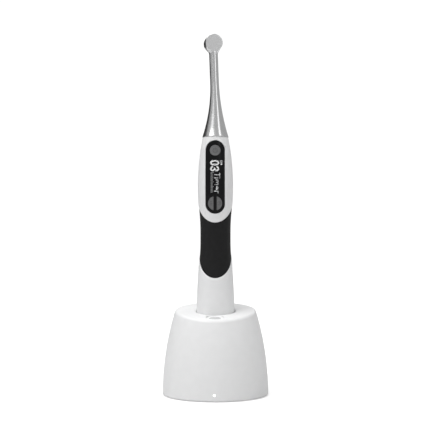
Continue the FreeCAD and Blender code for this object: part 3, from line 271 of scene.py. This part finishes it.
def neck_line(y, z):
    """Distance in the side view from the neck's centre line, and the height along it."""
    bend_end_y = LEAN_CURVE * (1 - math.cos(LEAN))
    bend_end_z = LEAN_START + LEAN_CURVE * math.sin(LEAN)
    angle = np.arctan2(z - LEAN_START, LEAN_CURVE - y)
    in_bend = LEAN_CURVE - np.hypot(LEAN_CURVE - y, z - LEAN_START)
    ahead = (y - bend_end_y) * math.sin(LEAN) + (z - bend_end_z) * math.cos(LEAN)
    leaning = (y - bend_end_y) * math.cos(LEAN) - (z - bend_end_z) * math.sin(LEAN)
    aside = np.where(angle < 0, y, np.where(angle > LEAN, leaning, in_bend))
    height = np.where(
        angle < 0,
        z,
        np.where(
            angle > LEAN,
            bend_end_z + ahead * math.cos(LEAN),
            LEAN_START + LEAN_CURVE * np.sin(np.clip(angle, 0, LEAN)),
        ),
    )
    return aside, height


def neck_field(x, y, z):
    """Neck and head before they are turned about the axis."""
    aside, height = neck_line(y, z)
    tube = np.hypot(x, aside) - neck_radius_at(height)
    tube = np.maximum(tube, height - HEAD_Z)
    across = np.hypot(x, z - HEAD_Z)
    behind_face = HEAD_FACE_Y - y
    head = soft_min(tube, across - HEAD_RADIUS, HEAD_BLEND)
    head = soft_max(head, y - HEAD_FACE_Y - HEAD_DEPTH, HEAD_BACK_EDGE)
    head = soft_max(head, behind_face, EDGE)
    solid = soft_min(tube, head, FACE_CREASE)
    solid = soft_max(solid, NECK_LOW - z, NECK_EDGE)
    lamp_cavity = np.maximum(across - HEAD_RADIUS + HEAD_WALL, HEAD_FACE_Y + HEAD_WALL - y)
    solid = soft_max(solid, -lamp_cavity, NECK_EDGE)
    inner = np.interp(z, [SKIRT_CAVITY_Z, LEAN_Z], [SKIRT_CAVITY_RADIUS, WIRE_BORE])
    skirt_cavity = np.maximum(np.hypot(x, y) - inner, z - LEAN_Z)
    bore = np.maximum(np.hypot(x, aside) - WIRE_BORE, height - HEAD_Z)
    return np.maximum(solid, -np.minimum(skirt_cavity, bore))


def wall_radius(z):
    return BASE_RADIUS - BASE_CURVE + np.sqrt(BASE_CURVE**2 - z**2)


def crown(y, z, drop):
    """Distance above the cradle's crowned top, lowered by drop."""
    centre_y = TOP_CURVE * math.sin(TOP_ANGLE)
    centre_z = TOP_Z - TOP_CURVE * math.cos(TOP_ANGLE)
    return np.hypot(y - centre_y, z - centre_z) - TOP_CURVE + drop


PORT_TILT = TOP_ANGLE + math.asin(-PORT_Y / TOP_CURVE)
PORT_Z = (
    TOP_Z
    - TOP_CURVE * math.cos(TOP_ANGLE)
    + math.sqrt(TOP_CURVE**2 - (PORT_Y - TOP_CURVE * math.sin(TOP_ANGLE)) ** 2)
)


def port_frame(y, z):
    """Distance up the slope from the sensor port's centre, and height above it."""
    along = (y - PORT_Y) * math.cos(PORT_TILT) + (z - PORT_Z) * math.sin(PORT_TILT)
    above = -(y - PORT_Y) * math.sin(PORT_TILT) + (z - PORT_Z) * math.cos(PORT_TILT)
    return along, above


def cradle_field(x, y, z):
    across = np.hypot(x, y)
    wall = wall_radius(z)
    dish_rise = DISH_CURVE - DISH_DEPTH
    dish_y = y + dish_rise * math.sin(TOP_ANGLE)
    dish_z = z - TOP_Z - dish_rise * math.cos(TOP_ANGLE)
    dish = DISH_CURVE - np.sqrt(x**2 + dish_y**2 + dish_z**2)
    top = soft_max(crown(y, z, 0), dish, CRADLE_EDGE)
    body = soft_max(across - wall, top, RIM_EDGE)
    body = soft_max(body, BASE_LOW - z, CRADLE_EDGE)
    body = soft_max(body, OPENING_RADIUS - across, OPENING_EDGE)
    along, above = port_frame(y, z)
    port = np.hypot(x, along)
    recess = np.maximum(port - PORT_RADIUS, -above - PORT_DEPTH)
    recess = np.maximum(recess, above - PORT_ABOVE)
    body = soft_max(body, -recess, CRADLE_EDGE)
    body = np.maximum(body, -np.maximum(port - PORT_WINDOW, np.abs(above) - PORT_THROUGH))
    inlet = stadium(z - INLET_Z, x, INLET_HALF_HEIGHT, INLET_HALF_WIDTH)
    body = soft_max(body, -np.maximum(inlet, INLET_FRONT_Y - y), EDGE)
    cavity = np.maximum(across - wall + BASE_WALL, crown(y, z, TOP_THICKNESS))
    return np.maximum(body, -cavity)


# ---------------------------------------------------------------- meshing


def net_of(field, low, high, cell):
    """Vertices and quads on the zero level of a field inside a box of cells."""
    axes = [np.arange(a, b + cell, cell) for a, b in zip(low, high)]
    values = field(*np.meshgrid(*axes, indexing="ij"))
    cells = tuple(n - 1 for n in values.shape)
    total = np.zeros(cells + (3,))
    count = np.zeros(cells)
    crossings = []
    for axis in range(3):
        first = np.take(values, range(cells[axis]), axis)
        last = np.take(values, range(1, cells[axis] + 1), axis)
        spots = np.argwhere((first < 0) != (last < 0))
        a = first[tuple(spots.T)]
        b = last[tuple(spots.T)]
        point = spots.astype(float)
        point[:, axis] += a / (a - b)
        others = [other for other in range(3) if other != axis]
        inner = np.all([(spots[:, o] > 0) & (spots[:, o] < cells[o]) for o in others], axis=0)
        spots, point, rising = spots[inner], point[inner], (a < 0)[inner]
        corners = []
        for step_a, step_b in ((0, 0), (1, 0), (1, 1), (0, 1)):
            near = spots.copy()
            near[:, others[0]] -= step_a
            near[:, others[1]] -= step_b
            np.add.at(total, tuple(near.T), point)
            np.add.at(count, tuple(near.T), 1)
            corners.append(np.ravel_multi_index(near.T, cells))
        quads = np.stack(corners, axis=1)
        flip = rising if axis == 1 else ~rising
        quads[flip] = quads[flip][:, ::-1]
        crossings.append(quads)
    used = np.flatnonzero(count.ravel())
    index = np.full(count.size, -1)
    index[used] = np.arange(len(used))
    points = total.reshape(-1, 3)[used] / count.ravel()[used][:, None]
    points = points * cell + np.array([axis[0] for axis in axes])
    return points, index[np.concatenate(crossings)]


def slope_of(field, points, step=0.01):
    """Gradient of a field at points."""
    slopes = []
    for axis in range(3):
        offset = np.zeros(3)
        offset[axis] = step
        slopes.append(field(*(points + offset).T) - field(*(points - offset).T))
    return np.stack(slopes, axis=1) / (2 * step)


SETTLE_STEPS, LEAST_SLOPE_SQUARED = 5, 0.05


def settle(field, points, cell):
    """Moves points onto the zero level, each by no more than a cell in all."""
    start = points.copy()
    for _ in range(SETTLE_STEPS):
        slope = slope_of(field, points)
        squared = np.maximum((slope**2).sum(axis=1), LEAST_SLOPE_SQUARED)
        points = points - slope * (field(*points.T) / squared)[:, None]
        points = start + np.clip(points - start, -cell, cell)
    return points


def solid_piece(name, field, low, high, cell, body, slot, replaced, material, turn=0.0):
    """Meshes a field as a piece that rides on a body and stands for CAD nodes."""
    cell *= FINE
    points, quads = net_of(field, low, high, cell)
    points = settle(field, points, cell)
    normals = slope_of(field, points)
    normals /= np.maximum(np.linalg.norm(normals, axis=1), 1e-9)[:, None]
    cos, sin = math.cos(turn), math.sin(turn)
    spin = np.array([[cos, -sin, 0], [sin, cos, 0], [0, 0, 1]])
    mesh = bpy.data.meshes.new(name)
    mesh.from_pydata((points @ spin.T * MM).tolist(), [], quads.tolist())
    mesh.validate()
    mesh.shade_smooth()
    if len(mesh.vertices) == len(points):
        mesh.normals_split_custom_set_from_vertices((normals @ spin.T).tolist())
    thing = bpy.data.objects.new(name, mesh)
    bpy.context.scene.collection.objects.link(thing)
    thing.data.materials.append(material)
    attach(thing, body)
    if replaced:
        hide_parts(*replaced)
    return thing


# ---------------------------------------------------------------- materials


class Shading:
    """A node material with a Principled shader and helpers for its detail."""

    def __init__(self, name, colour, roughness, **sockets):
        self.material = bpy.data.materials.new(name)
        self.material.use_nodes = True
        self.tree = self.material.node_tree
        self.shader = self.tree.nodes["Principled BSDF"]
        self.shader.inputs["Base Color"].default_value = (*colour, 1)
        self.shader.inputs["Roughness"].default_value = roughness
        for socket, value in sockets.items():
            self.shader.inputs[socket.replace("_", " ")].default_value = value
        self.place = self.add("ShaderNodeTexCoord").outputs["Object"]
        self.colour = colour
        self.roughness = roughness

    def add(self, kind, **settings):
        node = self.tree.nodes.new(kind)
        for key, value in settings.items():
            setattr(node, key, value)
        return node

    def noise(self, scale, detail=2.0, stretch=None):
        """Noise output at a scale in cycles per metre, stretched along the axes."""
        texture = self.add("ShaderNodeTexNoise")
        texture.inputs["Scale"].default_value = scale
        texture.inputs["Detail"].default_value = detail
        source = self.place
        if stretch:
            mapping = self.add("ShaderNodeMapping")
            mapping.inputs["Scale"].default_value = stretch
            self.tree.links.new(self.place, mapping.inputs["Vector"])
            source = mapping.outputs["Vector"]
        self.tree.links.new(source, texture.inputs["Vector"])
        return texture.outputs["Fac"]

    def vary_roughness(self, source, low, high):
        spread = self.add("ShaderNodeMapRange")
        spread.inputs["To Min"].default_value = low
        spread.inputs["To Max"].default_value = high
        self.tree.links.new(source, spread.inputs["Value"])
        self.tree.links.new(spread.outputs["Result"], self.shader.inputs["Roughness"])

    def vary_colour(self, source, low, high, start=0.3, end=0.7):
        ramp = self.add("ShaderNodeValToRGB")
        ramp.color_ramp.elements[0].position = start
        ramp.color_ramp.elements[1].position = end
        ramp.color_ramp.elements[0].color = (*low, 1)
        ramp.color_ramp.elements[1].color = (*high, 1)
        self.tree.links.new(source, ramp.inputs["Fac"])
        self.tree.links.new(ramp.outputs["Color"], self.shader.inputs["Base Color"])

    def bump(self, source, strength, distance):
        bump = self.add("ShaderNodeBump")
        bump.inputs["Strength"].default_value = strength
        bump.inputs["Distance"].default_value = distance
        self.tree.links.new(source, bump.inputs["Height"])
        self.tree.links.new(bump.outputs["Normal"], self.shader.inputs["Normal"])


def tint(colour, factor):
    return tuple(min(channel * factor, 1.0) for channel in colour)


def grained(name, colour, roughness, grain, spread=0.03, depth=0.00002, **sockets):
    """Moulded or machined surface: fine grain, faint mottling and uneven gloss."""
    shading = Shading(name, colour, roughness, **sockets)
    fine = shading.noise(grain, 3.0)
    broad = shading.noise(grain / 40, 2.0)
    shading.vary_colour(broad, tint(colour, 1 - spread), tint(colour, 1 + spread))
    shading.vary_roughness(fine, roughness - 0.05, roughness + 0.05)
    shading.bump(fine, 0.25, depth)
    return shading.material


def polished_metal(name, colour, roughness):
    """Satin-polished metal with hair-fine marks along the neck."""
    shading = Shading(name, colour, roughness, Metallic=1.0)
    marks = shading.noise(9000.0, 2.0, stretch=(1.0, 1.0, 0.04))
    clouds = shading.noise(260.0, 3.0)
    shading.vary_colour(clouds, tint(colour, 0.97), tint(colour, 1.02))
    shading.vary_roughness(marks, roughness - 0.02, roughness + 0.02)
    shading.bump(marks, 0.02, 0.000002)
    return shading.material


WHITE = (0.785, 0.787, 0.79)
MATERIALS = {
    "white_gloss": grained("white_plastic", WHITE, 0.42, 9000.0, 0.012, 0.000008),
    "white_matte": grained("white_cradle_plastic", WHITE, 0.5, 7000.0, 0.012, 0.000012),
    "panel_black": grained(
        "black_window", (0.0045, 0.0045, 0.005), 0.2, 5000.0, 0.1, 0.000002,
        Specular_IOR_Level=0.18,
    ),
    "button_grey": grained(
        "grey_button_rubber", (0.14, 0.14, 0.142), 0.55, 12000.0, 0.05,
        Specular_IOR_Level=0.3,
    ),
    "grip_black": grained(
        "black_grip", (0.0095, 0.0095, 0.01), 0.6, 14000.0, 0.15, 0.00003,
        Specular_IOR_Level=0.2,
    ),
    "neck_metal": polished_metal("neck_metal", (0.75, 0.753, 0.757), 0.18),
    "steel": polished_metal("steel", (0.62, 0.62, 0.63), 0.3),
    "gold_contact": polished_metal("gold_contact", (0.86, 0.62, 0.26), 0.25),
    "seal_rubber": grained("seal_rubber", (0.03, 0.03, 0.03), 0.6, 12000.0, 0.1),
    "circuit_board": grained("circuit_board", (0.02, 0.11, 0.05), 0.4, 4000.0, 0.2),
    "lamp_board": grained("lamp_board", (0.6, 0.6, 0.6), 0.35, 6000.0, 0.05, Metallic=0.8),
    "chip_black": grained("chip_black", (0.02, 0.02, 0.02), 0.5, 9000.0, 0.1),
    "led_yellow": grained("led_phosphor", (0.75, 0.6, 0.12), 0.3, 15000.0, 0.1),
    "reflector_bright": polished_metal("reflector_bright", (0.9, 0.9, 0.9), 0.08),
    "lens_clear": grained(
        "lens_clear", (0.9, 0.94, 1.0), 0.06, 3000.0, 0.02, 0.000001, Transmission_Weight=0.85
    ),
    "display_black": grained("display_black", (0.01, 0.01, 0.014), 0.2, 5000.0, 0.1),
    "cell_sleeve": grained("cell_sleeve", (0.05, 0.16, 0.4), 0.35, 5000.0, 0.05),
    "wire_sleeve": grained("wire_sleeve", (0.35, 0.03, 0.03), 0.5, 9000.0, 0.1),
    "light_guide": grained(
        "light_guide", (0.9, 0.92, 0.93), 0.3, 8000.0, 0.02, Emission_Strength=1.2
    ),
}
DIGIT_GLOW = grained(
    "display_digits", (0.7, 0.71, 0.72), 0.5, 9000.0, 0.03, Emission_Strength=0.42
)
LABEL_GREY = grained(
    "display_label", (0.55, 0.56, 0.57), 0.5, 9000.0, 0.03, Emission_Strength=0.25
)
TICK_GREY = grained(
    "display_ticks", (0.25, 0.255, 0.26), 0.5, 9000.0, 0.05, Emission_Strength=0.16
)
PORT_GREY = grained("port_window", (0.5, 0.505, 0.51), 0.25, 6000.0, 0.02)
ICON_DARK = grained("button_icon", (0.035, 0.035, 0.036), 0.5, 9000.0, 0.05)
for glowing in (DIGIT_GLOW, LABEL_GREY, TICK_GREY, MATERIALS["light_guide"]):
    shader = glowing.node_tree.nodes["Principled BSDF"]
    shader.inputs["Emission Color"].default_value = (1, 1, 1, 1)

NODE_SLOTS = {
    "white_matte": ["socket_cup", "pin_block", "bottom_plate"],
    "white_gloss": ["tail_cap"],
    "circuit_board": ["sensor_board", "base_board", "control_board", "charge_board"],
    "steel": [
        "power_inlet", "bottom_screw_1", "bottom_screw_2", "bottom_screw_3", "ballast_plate",
        "board_screw_1", "board_screw_2", "power_switch", "mode_switch", "time_switch",
        "swivel_clip", "swivel_hub", "inner_tube",
    ],
    "gold_contact": [
        "pin_barrel_left", "pin_barrel_right", "charge_pin_left", "charge_pin_right",
        "charge_pad_left", "charge_pad_right", "battery_top_contact",
        "battery_bottom_contact",
    ],
    "seal_rubber": [
        "rubber_foot_1", "rubber_foot_2", "rubber_foot_3", "rubber_foot_4",
        "tail_seal_ring", "swivel_seal_ring",
    ],
    "chip_black": ["photodiode", "processor_chip", "buzzer"],
    "display_black": ["display_module"],
    "cell_sleeve": ["battery_cell"],
    "lamp_board": ["led_board"],
    "led_yellow": ["led_emitter"],
    "reflector_bright": ["reflector"],
    "lens_clear": ["exit_lens"],
    "neck_metal": ["lens_ring"],
    "wire_sleeve": ["lamp_wire_left", "lamp_wire_right"],
    "light_guide": ["status_lamp"],
}
for slot, names in NODE_SLOTS.items():
    for name in names:
        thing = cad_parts[name]
        thing.data.materials.clear()
        thing.data.materials.append(MATERIALS[slot])

# ---------------------------------------------------------------- main pieces

FRONT = -13.0


def round_box(radius, low, high):
    """Corners of the box about an upright cylinder on the axis."""
    return (-radius, -radius, low), (radius, radius, high)


solid_piece(
    "cradle_housing", cradle_field, *round_box(36.6, -0.5, 62.0), 0.4,
    "cradle", "white_matte", ["base_shell", "base_top"], MATERIALS["white_matte"],
)
solid_piece(
    "upper_casing_shell", casing_field, *round_box(12.6, 115.0, 175.3), 0.22,
    "handpiece", "white_gloss", ["upper_casing"], MATERIALS["white_gloss"],
)
solid_piece(
    "window_pane", window_field, (-7.0, FRONT, 121.5), (7.0, -8.0, 172.5), 0.14,
    "handpiece", "panel_black", ["display_window"], MATERIALS["panel_black"],
)
solid_piece(
    "soft_grip", grip_field, *round_box(12.6, 78.0, 142.0), 0.25,
    "handpiece", "grip_black", ["grip_sleeve"], MATERIALS["grip_black"],
)
solid_piece(
    "tail_shell", tail_field, *round_box(13.4, 30.0, 110.0), 0.3,
    "handpiece", "white_gloss", ["tail_casing"], MATERIALS["white_gloss"],
)
solid_piece(
    "neck_and_head", neck_field, (-9.4, -9.4, 174.2), (9.4, 17.0, 247.6), 0.15,
    "lamp_neck", "neck_metal", ["neck_housing"], MATERIALS["neck_metal"], turn=HEAD_TURN,
)
solid_piece(
    "power_key_cap", button_field(lambda x, z: power_disc(x, z, 0), 0.1),
    (-4.2, FRONT, 160.4), (4.2, -6.6, 169.0), 0.12,
    "power_key", "button_grey", ["power_button"], MATERIALS["button_grey"],
)
for side, key in ((-1, "mode"), (1, "time")):
    low_x, high_x = sorted((side * 0.5, side * 5.4))
    solid_piece(
        key + "_key_cap",
        button_field(lambda x, z, side=side: half_moon(x, z, side, 0), 0.05),
        (low_x, FRONT, 123.8), (high_x, -6.6, 134.6), 0.12,
        key + "_key", "button_grey", [key + "_button"], MATERIALS["button_grey"],
    )

# ---------------------------------------------------------------- sensor port and lamp


def port_lens_field(x, y, z):
    """A shallow domed window at the bottom of the sensor port."""
    along, above = port_frame(y, z)
    across = np.hypot(x, along)
    dome = above + PORT_DEPTH - PORT_LENS_LIFT + across**2 / PORT_LENS_DOME
    lens = soft_max(across - PORT_WINDOW + PART_GAP, dome, BUTTON_EDGE)
    return np.maximum(lens, -above - PORT_LENS_LOW)


solid_piece(
    "sensor_port_lens", port_lens_field, (-4.4, -25, PORT_Z - 5), (4.4, -15, PORT_Z + 2),
    0.2, "cradle", "light_guide", ["sensor_port_window"], PORT_GREY,
)


def lamp_field(x, y, z):
    """The end of the status lamp's light guide, slightly domed."""
    across = np.hypot(x, z - LAMP_Z)
    front = BASE_RADIUS + LAMP_PROUD - across**2 / LAMP_DOME
    return np.maximum(soft_max(across - LAMP_RADIUS, -y - front, HOLE_EDGE), y - LAMP_BACK_Y)


solid_piece(
    "status_lamp_lens", lamp_field, (-1.2, -36.4, 3.3), (1.2, -32.5, 5.7), 0.08,
    "cradle", "light_guide", ["status_lamp_guide"], MATERIALS["light_guide"],
)

# ---------------------------------------------------------------- display and icons


def arc_points(centre, radius, start, end, count=10):
    """Points round part of a circle, between two angles in degrees."""
    angles = np.radians(np.linspace(start, end, count))
    return [(centre[0] + radius * math.cos(a), centre[1] + radius * math.sin(a)) for a in angles]


def stroke_field(strokes, width, surface, half_thickness=0.035):
    """Round-ended strokes, given in the front view, lying on the handpiece's surface."""
    starts, ends = [], []
    for stroke in strokes:
        starts += stroke[:-1]
        ends += stroke[1:]

    def field(x, y, z):
        nearest = np.full_like(x, 1e3)
        for (ax, az), (bx, bz) in zip(starts, ends):
            length = max((bx - ax) ** 2 + (bz - az) ** 2, 1e-9)
            share = np.clip(((x - ax) * (bx - ax) + (z - az) * (bz - az)) / length, 0, 1)
            gap = np.hypot(x - ax - share * (bx - ax), z - az - share * (bz - az))
            nearest = np.minimum(nearest, gap)
        level = np.abs(np.hypot(x, y) - outline_radius(z) - surface) - half_thickness
        return soft_max(nearest - width / 2, level, 0.03)

    return field


def strokes_piece(name, strokes, width, body, slot, material, surface=0.02, cell=0.09):
    xs = [x for stroke in strokes for x, _ in stroke]
    zs = [z for stroke in strokes for _, z in stroke]
    reach = width / 2 + 0.3
    low_x, high_x = min(xs) - reach, max(xs) + reach
    widest = max(abs(low_x), abs(high_x))
    far = max(outline_radius(np.array(zs))) + surface + 0.3
    near = math.sqrt(min(outline_radius(np.array(zs))) ** 2 - widest**2) + surface - 0.4
    low = (low_x, -far, min(zs) - reach)
    high = (high_x, -near, max(zs) + reach)
    field = stroke_field(strokes, width, surface)
    return solid_piece(name, field, low, high, cell, body, slot, [], material)


def down_the_window(glyph, along, base_x, start_z):
    """Turns glyph strokes (along the word, up the letter) to read down the window."""
    return [
        [(base_x + up, start_z - along - across) for across, up in stroke] for stroke in glyph
    ]


ZERO = [
    arc_points((1.2, 1.2), 1.2, 180, 360, 12)
    + arc_points((1.2, 3.8), 1.2, 0, 180, 12)
    + [(0.0, 1.2)]
]
THREE = [
    arc_points((1.15, 3.75), 1.25, 165, -80, 14) + [(0.8, 2.5)],
    arc_points((1.15, 1.25), 1.25, 80, -165, 14),
]
LETTERS = {
    "T": ([[(0.0, 3.4), (2.4, 3.4)], [(1.2, 3.4), (1.2, 0.0)]], 3.3),
    "i": ([[(0.0, 0.0), (0.0, 2.2)], [(0.0, 3.3), (0.0, 3.4)]], 1.35),
    "m": (
        [
            [(0.0, 0.0), (0.0, 2.3)],
            arc_points((0.8, 1.55), 0.8, 180, 0) + [(1.6, 0.0)],
            arc_points((2.4, 1.55), 0.8, 180, 0) + [(3.2, 0.0)],
        ],
        4.35,
    ),
    "e": ([[(0.0, 1.15), (2.1, 1.15)] + arc_points((1.05, 1.15), 1.1, 0, 310, 16)], 3.2),
    "r": ([[(0.0, 0.0), (0.0, 2.3)], arc_points((0.85, 1.5), 0.85, 180, 70, 6)], 1.2),
}

DIGIT_BASE, DIGIT_START, DIGIT_ADVANCE, DIGIT_STROKE = -2.8, 157.2, 4.0, 1.12
digits = down_the_window(ZERO, 0.0, DIGIT_BASE, DIGIT_START)
digits += down_the_window(THREE, DIGIT_ADVANCE, DIGIT_BASE, DIGIT_START)
strokes_piece("display_digits", digits, DIGIT_STROKE, "handpiece", "display_black", DIGIT_GLOW)

WORD_BASE, WORD_START, WORD_STROKE = -0.3, 149.1, 0.55
word, along = [], 0.0
for letter in "Timer":
    glyph, advance = LETTERS[letter]
    word += down_the_window(glyph, along, WORD_BASE, WORD_START)
    along += advance
strokes_piece("display_word", word, WORD_STROKE, "handpiece", "display_black", LABEL_GREY)

SCALE_BASE, SCALE_START, SCALE_PITCH = -2.9, 149.4, 0.78
TICK_COUNT, LONG_TICK_EVERY, LONG_TICK, SHORT_TICK = 18, 4, 1.75, 1.2
MARK_STROKE = 0.4
ticks = []
for step in range(TICK_COUNT):
    length = SHORT_TICK if step % LONG_TICK_EVERY else LONG_TICK
    level = SCALE_START - step * SCALE_PITCH
    ticks.append([(SCALE_BASE, level), (SCALE_BASE + length, level)])
strokes_piece("display_scale", ticks, MARK_STROKE, "handpiece", "display_black", TICK_GREY)

BATTERY_LEFT, BATTERY_RIGHT, BATTERY_LOW, BATTERY_TOP = 3.6, 4.6, 156.1, 157.5
CHARGE_LEFT, CHARGE_RIGHT, CHARGE_Z, CHARGE_STROKE = 3.9, 4.4, 155.1, 0.9
battery = [
    [
        (BATTERY_LEFT, BATTERY_TOP),
        (BATTERY_RIGHT, BATTERY_TOP),
        (BATTERY_RIGHT, BATTERY_LOW),
        (BATTERY_LEFT, BATTERY_LOW),
        (BATTERY_LEFT, BATTERY_TOP),
    ]
]
strokes_piece(
    "display_battery", battery, MARK_STROKE, "handpiece", "display_black", LABEL_GREY
)
charge = [[(CHARGE_LEFT, CHARGE_Z), (CHARGE_RIGHT, CHARGE_Z)]]
strokes_piece(
    "display_charge", charge, CHARGE_STROKE, "handpiece", "display_black", DIGIT_GLOW
)

# The marks lie just above the hollowed tops of the keys.
POWER_ICON_LEVEL, PAIR_ICON_LEVEL, PAIR_ICON_X = BUTTON_PROUD - 0.1, BUTTON_PROUD - 0.05, 2.8
BAR_HALF_LENGTH, BAR_PITCH = 0.7, 1.0
power_icon = [
    arc_points((0, POWER_Z - 0.1), 1.45, 125, 415, 24),
    [(0, POWER_Z + 0.3), (0, POWER_Z + 1.9)],
]
strokes_piece(
    "power_icon", power_icon, 0.5, "power_key", "button_grey", ICON_DARK, POWER_ICON_LEVEL
)
mode_icon = []
for row in (-1, 0, 1):
    level = PAIR_Z + row * BAR_PITCH
    ends = (-PAIR_ICON_X - BAR_HALF_LENGTH, -PAIR_ICON_X + BAR_HALF_LENGTH)
    mode_icon.append([(end, level) for end in ends])
strokes_piece(
    "mode_icon", mode_icon, MARK_STROKE, "mode_key", "button_grey", ICON_DARK, PAIR_ICON_LEVEL
)
time_icon = [
    arc_points((PAIR_ICON_X, PAIR_Z), 1.15, 0, 360, 20),
    [(PAIR_ICON_X, PAIR_Z + 0.65), (PAIR_ICON_X, PAIR_Z), (PAIR_ICON_X + 0.5, PAIR_Z)],
]
strokes_piece(
    "time_icon", time_icon, 0.36, "time_key", "button_grey", ICON_DARK, PAIR_ICON_LEVEL
)

# ---------------------------------------------------------------- floor

FLOOR_HALF, FLOOR_GLOW = 4.0, 0.5


def make_floor():
    """A wide pale sheet under the object, lifted to white where the camera sees it."""
    mesh = bpy.data.meshes.new("floor")
    half = FLOOR_HALF
    corners = [(-half, -half, 0), (half, -half, 0), (half, half, 0), (-half, half, 0)]
    mesh.from_pydata(corners, [], [(0, 1, 2, 3)])
    floor = bpy.data.objects.new("floor", mesh)
    bpy.context.scene.collection.objects.link(floor)
    paper = grained("floor_paper", (0.62, 0.62, 0.62), 0.9, 400.0, 0.004)
    nodes, links = paper.node_tree.nodes, paper.node_tree.links
    glow = nodes.new("ShaderNodeEmission")
    seen = nodes.new("ShaderNodeLightPath").outputs["Is Camera Ray"]
    strength = nodes.new("ShaderNodeMapRange")
    strength.inputs["To Max"].default_value = FLOOR_GLOW
    links.new(seen, strength.inputs["Value"])
    links.new(strength.outputs["Result"], glow.inputs["Strength"])
    both = nodes.new("ShaderNodeAddShader")
    links.new(nodes["Principled BSDF"].outputs["BSDF"], both.inputs[0])
    links.new(glow.outputs["Emission"], both.inputs[1])
    links.new(both.outputs["Shader"], nodes["Material Output"].inputs["Surface"])
    floor.data.materials.append(paper)


make_floor()

# ---------------------------------------------------------------- light and camera

middle = Vector((0, 0, (cad_low.z + cad_high.z) / 2))


def direction(azimuth, elevation):
    """Unit vector; azimuth 0 is in front of the object and 90 on its right."""
    a, e = math.radians(azimuth), math.radians(elevation)
    return Vector((math.sin(a) * math.cos(e), -math.cos(a) * math.cos(e), math.sin(e)))


def softbox(name, azimuth, elevation, width, height, brightness, roll=0.0, distance=1.2):
    """Rectangular light facing the object's middle, rolled about its own axis."""
    light = bpy.data.lights.new(name, "AREA")
    light.shape = "RECTANGLE"
    light.size, light.size_y = width, height
    light.energy = brightness * math.pi * width * height
    lamp = bpy.data.objects.new(name, light)
    away = direction(azimuth, elevation)
    lamp.location = middle + away * distance
    lamp.rotation_mode = "QUATERNION"
    turned = away.to_track_quat("Z", "Y")
    lamp.rotation_quaternion = turned @ Quaternion((0, 0, 1), math.radians(roll))
    lamp.visible_camera = False
    bpy.context.scene.collection.objects.link(lamp)


softbox("strip_softbox", 45.5, 37, 0.22, 1.0, 1.1, roll=-47)

# Soft patches of the surround: azimuth, elevation, inner and outer radius in degrees, and
# the brightness added inside, or for the shade the share of light that stays.
BASE_BRIGHTNESS, BACKDROP_BRIGHTNESS = 0.44, 1.05
GLOWS = [
    (-48, 62, 24, 30, 2.0),
    (-80, 74, 18, 36, 1.7),
    (22, 12, 8, 24, 0.17),
    (68, 7, 5, 13, 0.6),
]
CEILING_GLOW = (0, 90, 25, 60, 0.2)
SHADES = [(-136, 22, 16, 44, 0.12), (-168, 6, 8, 22, 0.15)]


def make_world():
    """Studio surround with soft glows and a shaded side, white where the camera sees it."""
    world = bpy.data.worlds.new("studio")
    bpy.context.scene.world = world
    world.use_nodes = True
    nodes, links = world.node_tree.nodes, world.node_tree.links
    place = nodes.new("ShaderNodeTexCoord").outputs["Generated"]

    def patch(azimuth, elevation, inner, outer, centre_value, rim_value):
        dot = nodes.new("ShaderNodeVectorMath")
        dot.operation = "DOT_PRODUCT"
        dot.inputs[1].default_value = direction(azimuth, elevation)
        links.new(place, dot.inputs[0])
        fade = nodes.new("ShaderNodeMapRange")
        fade.interpolation_type = "SMOOTHSTEP"
        fade.inputs["From Min"].default_value = math.cos(math.radians(outer))
        fade.inputs["From Max"].default_value = math.cos(math.radians(inner))
        fade.inputs["To Min"].default_value = rim_value
        fade.inputs["To Max"].default_value = centre_value
        links.new(dot.outputs["Value"], fade.inputs["Value"])
        return fade.outputs["Result"]

    def combine(operation, first, second):
        sum_node = nodes.new("ShaderNodeMath")
        sum_node.operation = operation
        for socket, value in zip(sum_node.inputs, (first, second)):
            if isinstance(value, float):
                socket.default_value = value
            else:
                links.new(value, socket)
        return sum_node.outputs[0]

    light = BASE_BRIGHTNESS
    for azimuth, elevation, inner, outer, added in GLOWS + [CEILING_GLOW]:
        light = combine("ADD", light, patch(azimuth, elevation, inner, outer, added, 0.0))
    for shade in SHADES:
        light = combine("MULTIPLY", light, patch(*shade, 1.0))
    surround = nodes["Background"]
    surround.inputs["Color"].default_value = (1, 1, 1, 1)
    links.new(light, surround.inputs["Strength"])
    backdrop = nodes.new("ShaderNodeBackground")
    backdrop.inputs["Color"].default_value = (1, 1, 1, 1)
    backdrop.inputs["Strength"].default_value = BACKDROP_BRIGHTNESS
    mix = nodes.new("ShaderNodeMixShader")
    links.new(nodes.new("ShaderNodeLightPath").outputs["Is Camera Ray"], mix.inputs["Fac"])
    links.new(surround.outputs["Background"], mix.inputs[1])
    links.new(backdrop.outputs["Background"], mix.inputs[2])
    links.new(mix.outputs["Shader"], nodes["World Output"].inputs["Surface"])


make_world()

CAMERA_LENS = 79.3
CAMERA_DISTANCE, CAMERA_HEIGHT = 0.645, 0.0985
CAMERA_SIDE, CAMERA_PITCH, CAMERA_AIM = map(math.radians, (1.3, 2.03, 0.03))
camera_data = bpy.data.cameras.new("camera")
camera_data.lens = CAMERA_LENS
camera_data.sensor_width = 36.0
camera_data.clip_start = 0.01
camera = bpy.data.objects.new("camera", camera_data)
bpy.context.scene.collection.objects.link(camera)
bpy.context.scene.camera = camera
camera.location = (
    CAMERA_DISTANCE * math.sin(CAMERA_SIDE),
    -CAMERA_DISTANCE * math.cos(CAMERA_SIDE),
    CAMERA_HEIGHT,
)
camera.rotation_euler = (math.pi / 2 + CAMERA_PITCH, 0, CAMERA_SIDE + CAMERA_AIM)

view = bpy.context.scene.view_settings
view.view_transform = "Standard"
view.look = "None"
